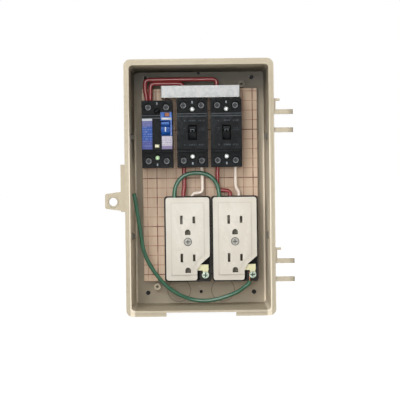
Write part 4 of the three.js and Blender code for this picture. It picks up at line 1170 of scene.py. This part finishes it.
@dataclass
class EarthLead:
    """The free green lead: it leaves the right-hand earth screw and ends cut off high on the left.

    Its points are in millimetres from the screw: across, up and out from the clamp's face.
    """

    diameter: float = 4 * MM
    core_radius: float = 0.8 * MM
    core_length: float = 10.8 * MM
    core_aside: float = 3.15
    core_below: float = 1.2 * MM
    screw: Span = (53.2, -90.0)
    clamp: float = 42.7
    steps: int = 8
    points: tuple[Triple, ...] = (
        (-2.9, -6.6, 0), (-4.6, -9.8, -0.3), (-9.1, -13.1, -0.7), (-15.3, -17.6, -1.7), (-27.7, -22.6, -2.7),
        (-40.1, -25.8, -2.7), (-52.5, -26.6, -2.7), (-64.8, -24.5, -2.7), (-77, -19.1, -0.7),
        (-89.2, -10.2, 1.3), (-98.8, 1.3, 4.3), (-106.5, 13.8, 7.3), (-111.3, 26.3, 10.3),
        (-113.3, 38.7, 13.3), (-115, 51, 16.3), (-116.8, 63.3, 19.3), (-118.6, 75.5, 21.3),
        (-120.1, 84.7, 22.3),
    )

    @staticmethod
    def along(a: Vector, b: Vector, c: Vector, d: Vector, t: float) -> Vector:
        """A point between the middle two of four knots, on the smooth curve through them all.

        Args:
            a: The knot before.
            b: The knot where the stretch begins.
            c: The knot where it ends.
            d: The knot after.
            t: How far along the stretch the point lies, 0 to 1.

        Returns:
            The point.
        """
        return 0.5 * (2 * b + (c - a) * t + (2 * a - 5 * b + 4 * c - d) * t * t
                      + (3 * b - a - 3 * c + d) * t ** 3)

    def route(self) -> list[Vector]:
        """The route's points in metres, with smooth ones between them.

        Returns:
            Points along the lead's centreline.
        """
        knots = [Vector(((self.screw[0] + x) * MM, -(self.clamp + h) * MM, (self.screw[1] + z) * MM))
                 for x, z, h in self.points]
        ends = [2 * knots[0] - knots[1], *knots, 2 * knots[-1] - knots[-2]]
        smooth = [self.along(*ends[i:i + 4], step / self.steps)
                  for i in range(len(ends) - 3) for step in range(self.steps)]
        return [*smooth, knots[-1]]

    def build(self) -> None:
        path = self.route()
        data = bpy.data.curves.new("green_earth_lead", "CURVE")
        data.dimensions = "3D"
        data.bevel_depth = self.diameter / 2
        data.bevel_resolution = 6
        data.use_fill_caps = True
        spline = data.splines.new("POLY")
        spline.points.add(len(path) - 1)
        for point, place in zip(spline.points, path):
            point.co = (*place, 1)
        lead = bpy.data.objects.new("green_earth_lead", data)
        bpy.context.scene.collection.objects.link(lead)
        Bench.hand_over(lead, Body.BOX, Slot.GREEN, Finishes.GREEN)
        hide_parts("earth_lead")
        self.stripped_end(path[0].z - self.core_below)

    def stripped_end(self, low: float) -> None:
        """Makes the bare copper that lies beside the screw's shank, under its head.

        Args:
            low: The height of its lower end, inside the lead.
        """
        centre = Vector(((self.screw[0] - self.core_aside) * MM, -self.clamp * MM,
                         low + self.core_length / 2))
        rod = Bench.drum("green_lead_core", centre, self.core_radius, self.core_length, 16, (0, 0, 0))
        Bench.round_edges(rod, 0.2 * MM)
        Bench.hand_over(rod, Body.BOX, Slot.COPPER, Finishes.COPPER)


@dataclass
class Enclosure:
    """The beige moulded box, its board, the raised ring round its hasp hole and its plugs of painted shade.
    """

    dresser: Dresser
    ring_place: Triple = (8.1 * MM, -90.6 * MM, -13.5 * MM)
    ring_radius: float = 5.2 * MM
    ring_thick: float = 0.7 * MM
    ring_squash: float = 0.8
    corner_x: float = 55.5 * MM
    corner_heights: Span = (115 * MM, -110 * MM)
    corner_radius: float = 2.35 * MM
    middle_heights: Span = (120 * MM, -109.2 * MM)
    middle_radius: float = 1.65 * MM
    plug_sunk: float = 1.2 * MM
    plug_thick: float = 2.0 * MM
    dish_share: float = 0.3
    dish_depth: float = 0.7 * MM

    def build(self) -> None:
        """Dresses the box, the board and its screws, and adds the hasp ring and the plugs of painted shade.
        """
        self.dresser.dress("enclosure_body", Finishes.BEIGE, 0.7 * MM, 3, 40)
        self.dresser.dress("mounting_board", Finishes.BOARD, 0.4 * MM)
        for number in range(1, 5):
            self.dresser.dress(f"board_screw_{number}", Finishes.STEEL, 0.1 * MM)
        self.hasp_ring()
        self.shade_plugs()

    def shade_plugs(self) -> None:
        """Fills each unused wall hole with a dark plug dished at its front, as painted shade in the hole."""
        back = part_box("enclosure_body")[1].y
        spots = [(side * self.corner_x, z, self.corner_radius)
                 for side in (-1, 1) for z in self.corner_heights]
        spots += [(0.0, z, self.middle_radius) for z in self.middle_heights]
        for number, (x, z, radius) in enumerate(spots, 1):
            centre = Vector((x, back - self.plug_sunk, z))
            plug = Bench.drum(f"hole_shade_plug_{number}", centre, radius, self.plug_thick, 24)
            with Bench.shaping(plug, Bench.looks_front):
                bpy.ops.mesh.inset(thickness=radius * self.dish_share)
                bpy.ops.transform.translate(value=(0, self.dish_depth, 0))
            Bench.round_edges(plug, 0.1 * MM)
            # The plug is painted shade for the hole.
            Bench.hand_over(plug, Body.BOX, Slot.BLACK, Finishes.SHADE_FILL)

    def hasp_ring(self) -> None:
        """A low raised ring round the hasp hole."""
        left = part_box("enclosure_body")[0].x
        centre = Vector((left, 0, 0)) + Vector(self.ring_place)
        ring = Bench.ring("hasp_ring", centre, self.ring_radius, self.ring_thick, 48, 12)
        with Bench.shaping(ring, lambda face: True):
            bpy.ops.transform.resize(value=(1, self.ring_squash, 1), center_override=centre)
        Bench.hand_over(ring, Body.BOX, Slot.BEIGE, Finishes.BEIGE)


@dataclass
class Breaker:
    """One two-pole breaker: its moulded halves, its screws, its print and the painted highlight on its lever.

    Lengths across and up are from the middle of the cover.
    """

    dresser: Dresser
    prefix: str
    body: Body
    ends: tuple[tuple[str, int], ...] = (("upper", 1), ("lower", -1))
    mount_height: float = 24.2 * MM
    mount_front: float = -53.5 * MM
    mount_radius: float = 2.35 * MM
    mount_thick: float = 2.2 * MM
    dome: tuple[Span, ...] = ((0.35, 0.45 * MM), (0.25, 0.12 * MM))
    slot_half: Span = (1.35 * MM, 0.32 * MM)
    slot_depth: float = 0.4 * MM
    slot_clear: float = 1.6 * MM
    rim_radius: float = 2.55 * MM
    rim_thick: float = 0.42 * MM
    rim_inset: float = 3.4 * MM
    edge_drops: Span = (15.4 * MM, 18.1 * MM)
    print_rows: tuple[Triple, ...] = (
        (12.2 * MM, 0.7 * MM, 0.55), (-12.4 * MM, 0.8 * MM, 0.5), (2.6 * MM, 0.5 * MM, 0.35),
        (4.4 * MM, 0.5 * MM, 0.35))
    print_columns: tuple[Span, ...] = ((-9 * MM, -7 * MM), (6.4 * MM, 12.4 * MM), (-3.5 * MM, 4 * MM))
    print_sunk: float = 0.4 * MM
    mark_front: float = -56.3 * MM
    mark_height: float = 31.2 * MM
    mark_half: Triple = (0.7 * MM, 0.12 * MM, 1.2 * MM)
    pivot_y: float = -52.3 * MM
    lever_tilt: float = math.radians(18)
    lever_taper: float = math.radians(3.3)
    lever_reach: float = 12.2 * MM
    lever_flank: float = 1.56 * MM
    highlight_strokes: tuple[tuple[float, ...], ...] = (
        (-1.6 * MM, 0.0, 0.45 * MM, 2.9 * MM), (1.6 * MM, 0.0, 0.45 * MM, 2.9 * MM),
        (0.0, 2.4 * MM, 1.6 * MM, 0.5 * MM))
    stroke_half: float = 0.12 * MM

    def middle(self) -> Vector:
        """The middle of the breaker's cover."""
        low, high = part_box(f"{self.prefix}_cover")
        return (low + high) / 2

    def step_edges(self) -> tuple[float, ...]:
        """The heights of the two step edges above the lever."""
        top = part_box(f"{self.prefix}_cover")[1].z
        return tuple(top - drop for drop in self.edge_drops)

    def finish(self) -> Finish:
        """The cover's finish, with its rows of small print placed by the cover's box."""
        middle = self.middle()
        return PrintedFinish(
            f"{self.prefix}_print", front=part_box(f"{self.prefix}_cover")[0].y + self.print_sunk,
            rows=tuple((middle.z + up, half, strength) for up, half, strength in self.print_rows),
            columns=tuple((middle.x + left, middle.x + right) for left, right in self.print_columns),
            edges=self.step_edges())

    def mount_screw(self, end: str, centre: Vector) -> None:
        """Makes a domed cross-head mounting screw.

        Args:
            end: The breaker's end that it is at.
            centre: The middle of its head's front.
        """
        head = Bench.drum(f"{self.prefix}_{end}_mount_screw", centre + Vector((0, self.mount_thick / 2, 0)),
                          self.mount_radius, self.mount_thick, 28)
        with Bench.shaping(head, Bench.looks_front):
            for share, rise in self.dome:
                bpy.ops.mesh.inset(thickness=self.mount_radius * share)
                bpy.ops.transform.translate(value=(0, -rise, 0))
        for wide, high in (self.slot_half, self.slot_half[::-1]):
            slot = Bench.plate("cross_slot", centre - Vector((wide, self.slot_clear, high)),
                               centre + Vector((wide, self.slot_depth, high)))
            Bench.cut(head, slot)
        Bench.round_edges(head, 0.12 * MM, 2, 35)
        Bench.hand_over(head, Body.BOX, Slot.STEEL, self.mount_finish(end))

    def build(self) -> None:
        """Dresses the breaker's pieces and adds what is fixed to them."""
        self.dresser.dress(f"{self.prefix}_base", Finishes.BLACK, 0.25 * MM)
        self.dresser.dress(f"{self.prefix}_cover", self.finish(), 0.45 * MM)
        self.dresser.dress(f"{self.prefix}_contact_arm", Finishes.INNER, 0.12 * MM)
        for end, way in self.ends:
            for side in ("left", "right"):
                self.dresser.dress(f"{self.prefix}_{end}_{side}_terminal", Finishes.DARK_STEEL, 0.12 * MM)
                self.screw_rim(end, side, way)
        self.dress_handle()
        middle = self.middle()
        for end, way in self.ends:
            self.mount_screw(end, Vector((middle.x, self.mount_front, middle.z + way * self.mount_height)))
        self.marks()

    def screw_rim(self, end: str, side: str, way: int) -> None:
        """Lays the worn raised rim on a terminal screw's head.

        Args:
            end: The breaker's end, "upper" or "lower".
            side: The pole's side, "left" or "right".
            way: 1 at the upper end and -1 at the lower one.
        """
        low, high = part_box(f"{self.prefix}_{end}_{side}_terminal")
        edge = (high if way > 0 else low).z
        centre = Vector(((low.x + high.x) / 2, low.y, edge - way * self.rim_inset))
        rim = Bench.ring(f"{self.prefix}_{end}_{side}_screw_rim", centre, self.rim_radius, self.rim_thick)
        Bench.hand_over(rim, Body.BOX, Slot.STEEL, Finishes.SCREW_RIM)

    def mount_finish(self, end: str) -> Finish:
        """The finish of the mounting screw at one end."""
        return Finishes.ZINC

    def dress_handle(self) -> None:
        """Dresses the lever."""
        self.dresser.dress(f"{self.prefix}_handle", Finishes.BLACK, 0.35 * MM)

    def marks(self) -> None:
        """Lays the lever's painted highlight and prints a small grey bar between each pair of terminal
        screws.
        """
        self.lever_mark()
        self.terminal_marks()

    def terminal_marks(self) -> None:
        """Raises a small grey bar on the cover between the terminal screws of each end."""
        middle = self.middle()
        half = Vector(self.mark_half)
        for end, way in self.ends:
            centre = Vector((middle.x, self.mark_front, middle.z + way * self.mark_height))
            bar = Bench.plate(f"{self.prefix}_{end}_mark", centre - half, centre + half)
            Bench.round_edges(bar, 0.08 * MM)
            Bench.hand_over(bar, Body.BOX, Slot.WHITE, Finishes.GREY_MARK)

    def pivot(self, up: float = 0.0) -> Vector:
        """The middle of the lever's axle, a given way up from the middle of the cover."""
        low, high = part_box(f"{self.prefix}_handle")
        return Vector(((low.x + high.x) / 2, self.pivot_y, self.middle().z + up))

    def lever_mark(self) -> None:
        """Lays a pale mark of three strokes on the lever's lower flank: a painted highlight."""
        tilt = self.lever_tilt
        out = Vector((0, -math.cos(tilt), math.sin(tilt)))
        down = Vector((0, -math.sin(tilt), -math.cos(tilt)))
        centre = self.pivot() + out * self.lever_reach + down * self.lever_flank
        turn = (-tilt - self.lever_taper, 0, 0)
        parts = []
        for aside, further, half_wide, half_long in self.highlight_strokes:
            place = centre + Vector((aside, 0, 0)) + out * further
            half = Vector((half_wide, half_long, self.stroke_half))
            parts.append(Bench.plate("lever_mark", place - half, place + half, turn))
        mark = Bench.joined(f"{self.prefix}_lever_mark", parts)
        Bench.round_edges(mark, 0.05 * MM, 1)
        # A painted highlight, in the grey print finish.
        Bench.hand_over(mark, self.body, Slot.WHITE, Finishes.GREY_MARK)


@dataclass
class LeakageBreaker(Breaker):
    """The earth-leakage breaker: a label, a raised blue column, a test button and an indicator.

    A window is its middle across and up from the middle of the cover, then its half width and height.
    """

    label_half: float = 15.6 * MM
    label_inset: float = 0.5 * MM
    label_width: float = 10.4 * MM
    label_thick: float = 0.25 * MM
    rating_inset: float = 0.4 * MM
    rating_width: float = 10.6 * MM
    rating_top: float = -2.4 * MM
    trim_across: Span = (3.75 * MM, 15.2 * MM)
    trim_up: Span = (-1.8 * MM, 22.0 * MM)
    trim_thick: float = 0.3 * MM
    lever_window: tuple[float, ...] = (8.6 * MM, 5.9 * MM, 4.8 * MM, 7.5 * MM)
    button_window: tuple[float, ...] = (10.3 * MM, 19.6 * MM, 2.5 * MM, 2.1 * MM)
    # The strip of painted highlight along the lever's top.
    strip_insets: Span = (0.9 * MM, 0.4 * MM)
    strip_up: Span = (14.2 * MM, 16.4 * MM)
    strip_lift: float = 0.2 * MM
    bar_lean: float = math.radians(9)
    bar_reach: float = 8.65 * MM
    bar_half: Triple = (0.6 * MM, 0.3 * MM, 2.3 * MM)

    def finish(self) -> Finish:
        """The cover's black finish with painted highlights on its step edges and no print."""
        return PrintedFinish("leakage_breaker_print", edges=self.step_edges())

    def mount_finish(self, end: str) -> Finish:
        """The lower screw carries a greenish paint dot, the upper one is dark."""
        return Finishes.GREEN_ZINC if end == "lower" else Finishes.BLACK

    def dress_handle(self) -> None:
        """Dresses the blue lever and the pieces behind the cover."""
        self.dresser.dress("leakage_breaker_handle", Finishes.BLUE, 0.35 * MM)
        self.dresser.dress("test_button", Finishes.ORANGE, 0.25 * MM)
        self.dresser.dress("trip_indicator", Finishes.CREAM, 0.2 * MM)
        self.dresser.dress("current_transformer", Finishes.FERRITE, 0.4 * MM)

    def marks(self) -> None:
        """Adds the labels, the blue trim round the lever, the terminal marks and the lever's bar."""
        self.violet_label()
        self.blue_trim()
        self.highlight_strip()
        self.terminal_marks()
        self.rating_label()
        self.lever_bar()

    def patch(self, name: str, across: Span, up: Span, thick: float, lift: float = 0.0) -> bpy.types.Object:
        """Starts a thin patch on the cover's front.

        Args:
            name: The name of the piece.
            across: Its left and its right.
            up: Its bottom and its top.
            thick: Its thickness.
            lift: How far its back is off the cover's front.

        Returns:
            The new object.
        """
        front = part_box("leakage_breaker_cover")[0].y - lift
        return Bench.plate(name, Vector((across[0], front - thick, up[0])), Vector((across[1], front, up[1])))

    def violet_label(self) -> None:
        """Sticks the tall label, violet and blue in bands, on the cover's left."""
        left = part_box("leakage_breaker_cover")[0].x + self.label_inset
        bottom, top = (self.middle().z + way * self.label_half for way in (-1, 1))
        label = self.patch("leakage_breaker_label", (left, left + self.label_width), (bottom, top),
                           self.label_thick)
        Bench.round_edges(label, 0.12 * MM)
        finish = LabelFinish(
            "violet_blue_label", (186, 190, 196), (176, 180, 188), 0.5,
            bands=((top - 2.2 * MM, (92, 92, 140)), (top - 8.0 * MM, (36, 74, 148)),
                   (bottom + 9.0 * MM, (72, 78, 138))),
            marks=(bottom + 1.0 * MM, top - 3 * MM))
        Bench.hand_over(label, Body.BOX, Slot.BLUE, finish)

    def rating_label(self) -> None:
        """Sticks the pale label below the blue column."""
        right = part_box("leakage_breaker_cover")[1].x - self.rating_inset
        middle = self.middle().z
        bottom = middle - self.label_half
        label = self.patch("leakage_breaker_rating_label", (right - self.rating_width, right),
                           (bottom, middle + self.rating_top), self.label_thick)
        Bench.round_edges(label, 0.12 * MM)
        finish = LabelFinish(
            "pale_rating_label", (184, 178, 190), (170, 164, 178), 0.5,
            bands=((bottom + 3.4 * MM, (124, 114, 146)),), marks=(bottom + 4.4 * MM, middle - 4 * MM),
            mark_colour=(120, 122, 140))
        Bench.hand_over(label, Body.BOX, Slot.WHITE, finish)

    def blue_trim(self) -> None:
        """Lays a blue plate over the raised column, open round the lever and the button."""
        middle = self.middle()
        trim = self.patch("leakage_breaker_blue_trim", tuple(middle.x + x for x in self.trim_across),
                          tuple(middle.z + z for z in self.trim_up), self.trim_thick)
        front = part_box("leakage_breaker_cover")[0].y
        for across, up, half_wide, half_high in (self.lever_window, self.button_window):
            at = Vector((middle.x + across, front, middle.z + up))
            reach = Vector((half_wide, 2 * MM, half_high))
            Bench.cut(trim, Bench.plate("window", at - reach, at + reach))
        Bench.round_edges(trim, 0.1 * MM)
        Bench.hand_over(trim, Body.BOX, Slot.BLUE, Finishes.BLUE)

    def highlight_strip(self) -> None:
        """Raises a white strip across the trim, between the button and the lever: a painted highlight."""
        middle = self.middle()
        left, right = (middle.x + x for x in self.trim_across)
        strip = self.patch("leakage_breaker_white_strip",
                           (left + self.strip_insets[0], right - self.strip_insets[1]),
                           tuple(middle.z + z for z in self.strip_up), self.trim_thick, self.strip_lift)
        Bench.round_edges(strip, 0.08 * MM)
        # A painted highlight of the lever's top edge, in white moulding.
        Bench.hand_over(strip, Body.BOX, Slot.WHITE, Finishes.WHITE)

    def lever_bar(self) -> None:
        """Raises the white bar on the blue lever's drum."""
        out = Vector((0, -math.cos(self.bar_lean), -math.sin(self.bar_lean)))
        centre = self.pivot(self.lever_window[1]) + out * self.bar_reach
        half = Vector(self.bar_half)
        bar = Bench.plate("leakage_lever_mark", centre - half, centre + half, (self.bar_lean, 0, 0))
        Bench.round_edges(bar, 0.1 * MM)
        Bench.hand_over(bar, self.body, Slot.WHITE, Finishes.MARK)


@dataclass
class Outlet:
    """One duplex grounded receptacle with its contacts and earth screw."""

    dresser: Dresser
    prefix: str
    gap_radius: float = 3.85 * MM
    gap_thick: float = 0.4 * MM
    gap_sunk: float = 0.5 * MM

    def cover_finish(self) -> Finish:
        """The ivory finish, with its painted shade line placed by the cover's box."""
        low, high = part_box(f"{self.prefix}_cover")
        middle = (low + high) / 2
        return RimmedFinish(
            f"{self.prefix}_ivory", (189, 183, 170), (188, 181, 167), 0.4, cloud_scale=16, fleck_share=0.08,
            grain_scale=2800, grain_height=0.02 * MM, coat=0.1, worn_and_lit=(214, 209, 198),
            centre=(middle.x, middle.z))

    def screw_gap_shade(self) -> None:
        """Paints shade into the narrow gap round the cover screw with a thin dark ring below its front."""
        low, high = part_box(f"{self.prefix}_cover_screw")
        centre = Vector(((low.x + high.x) / 2, low.y + self.gap_sunk, (low.z + high.z) / 2))
        # A dark ring of painted shade in the gap round the screw.
        ring = Bench.ring(f"{self.prefix}_cover_screw_shade_ring", centre, self.gap_radius, self.gap_thick, 40)
        Bench.hand_over(ring, Body.BOX, Slot.BLACK, Finishes.SHADE_FILL)

    def build(self) -> None:
        """Dresses each piece of the receptacle and adds the ring of painted shade round its cover screw."""
        dress = self.dresser.dress
        dress(f"{self.prefix}_base", Finishes.OUTLET_BLACK, 0.5 * MM)
        dress(f"{self.prefix}_cover", self.cover_finish(), 0.45 * MM, 3, 40)
        dress(f"{self.prefix}_cover_screw", Finishes.GREY_SCREW, 0.2 * MM)
        for name in ("live_contact", "neutral_contact"):
            dress(f"{self.prefix}_{name}", Finishes.DARK_BRASS, 0.1 * MM)
        dress(f"{self.prefix}_earth_contact", Finishes.CHROMATED, 0.15 * MM)
        dress(f"{self.prefix}_earth_screw", Finishes.GREEN_SCREW, 0.3 * MM)
        self.screw_gap_shade()


@dataclass
class Wiring:
    """The fixed wires between the pieces, the crossover bar and its cover, and the bimetal strips."""

    dresser: Dresser

    def build(self) -> None:
        """Dresses the wires, the crossover and the strips behind the breakers' covers."""
        for name in ("feed_wire_a", "feed_wire_b", "live_wire_a", "live_wire_b"):
            self.dresser.dress_round(name, Finishes.RED, 0.5 * MM)
        for name in ("neutral_wire_a", "neutral_wire_b"):
            self.dresser.dress_round(name, Finishes.WHITE_VINYL, 0.1 * MM)
        self.dresser.dress_round("earth_jumper", Finishes.GREEN)
        self.dresser.dress("crossover_bar", Finishes.DARK_COPPER, 0.15 * MM)
        self.dresser.dress("crossover_cover", Finishes.WHITE, 0.8 * MM, 3)
        for prefix in ("branch_breaker_a", "branch_breaker_b"):
            self.dresser.dress(f"{prefix}_bimetal", Finishes.COPPER, 0.1 * MM)


def main() -> None:
    """Builds the box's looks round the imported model, in order."""
    logging.basicConfig(level=logging.INFO, format="%(name)s: %(message)s")
    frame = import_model()
    Studio().build()
    dresser = Dresser(frame["nodes"])
    EarthLead().build()
    Enclosure(dresser).build()
    LeakageBreaker(dresser, "leakage_breaker", Body.LEAKAGE_HANDLE).build()
    Breaker(dresser, "branch_breaker_a", Body.BRANCH_A_HANDLE).build()
    Breaker(dresser, "branch_breaker_b", Body.BRANCH_B_HANDLE).build()
    for prefix in ("outlet_a", "outlet_b"):
        Outlet(dresser, prefix).build()
    Wiring(dresser).build()
    bpy.ops.object.select_all(action="DESELECT")


if __name__ == "__main__":
    main()
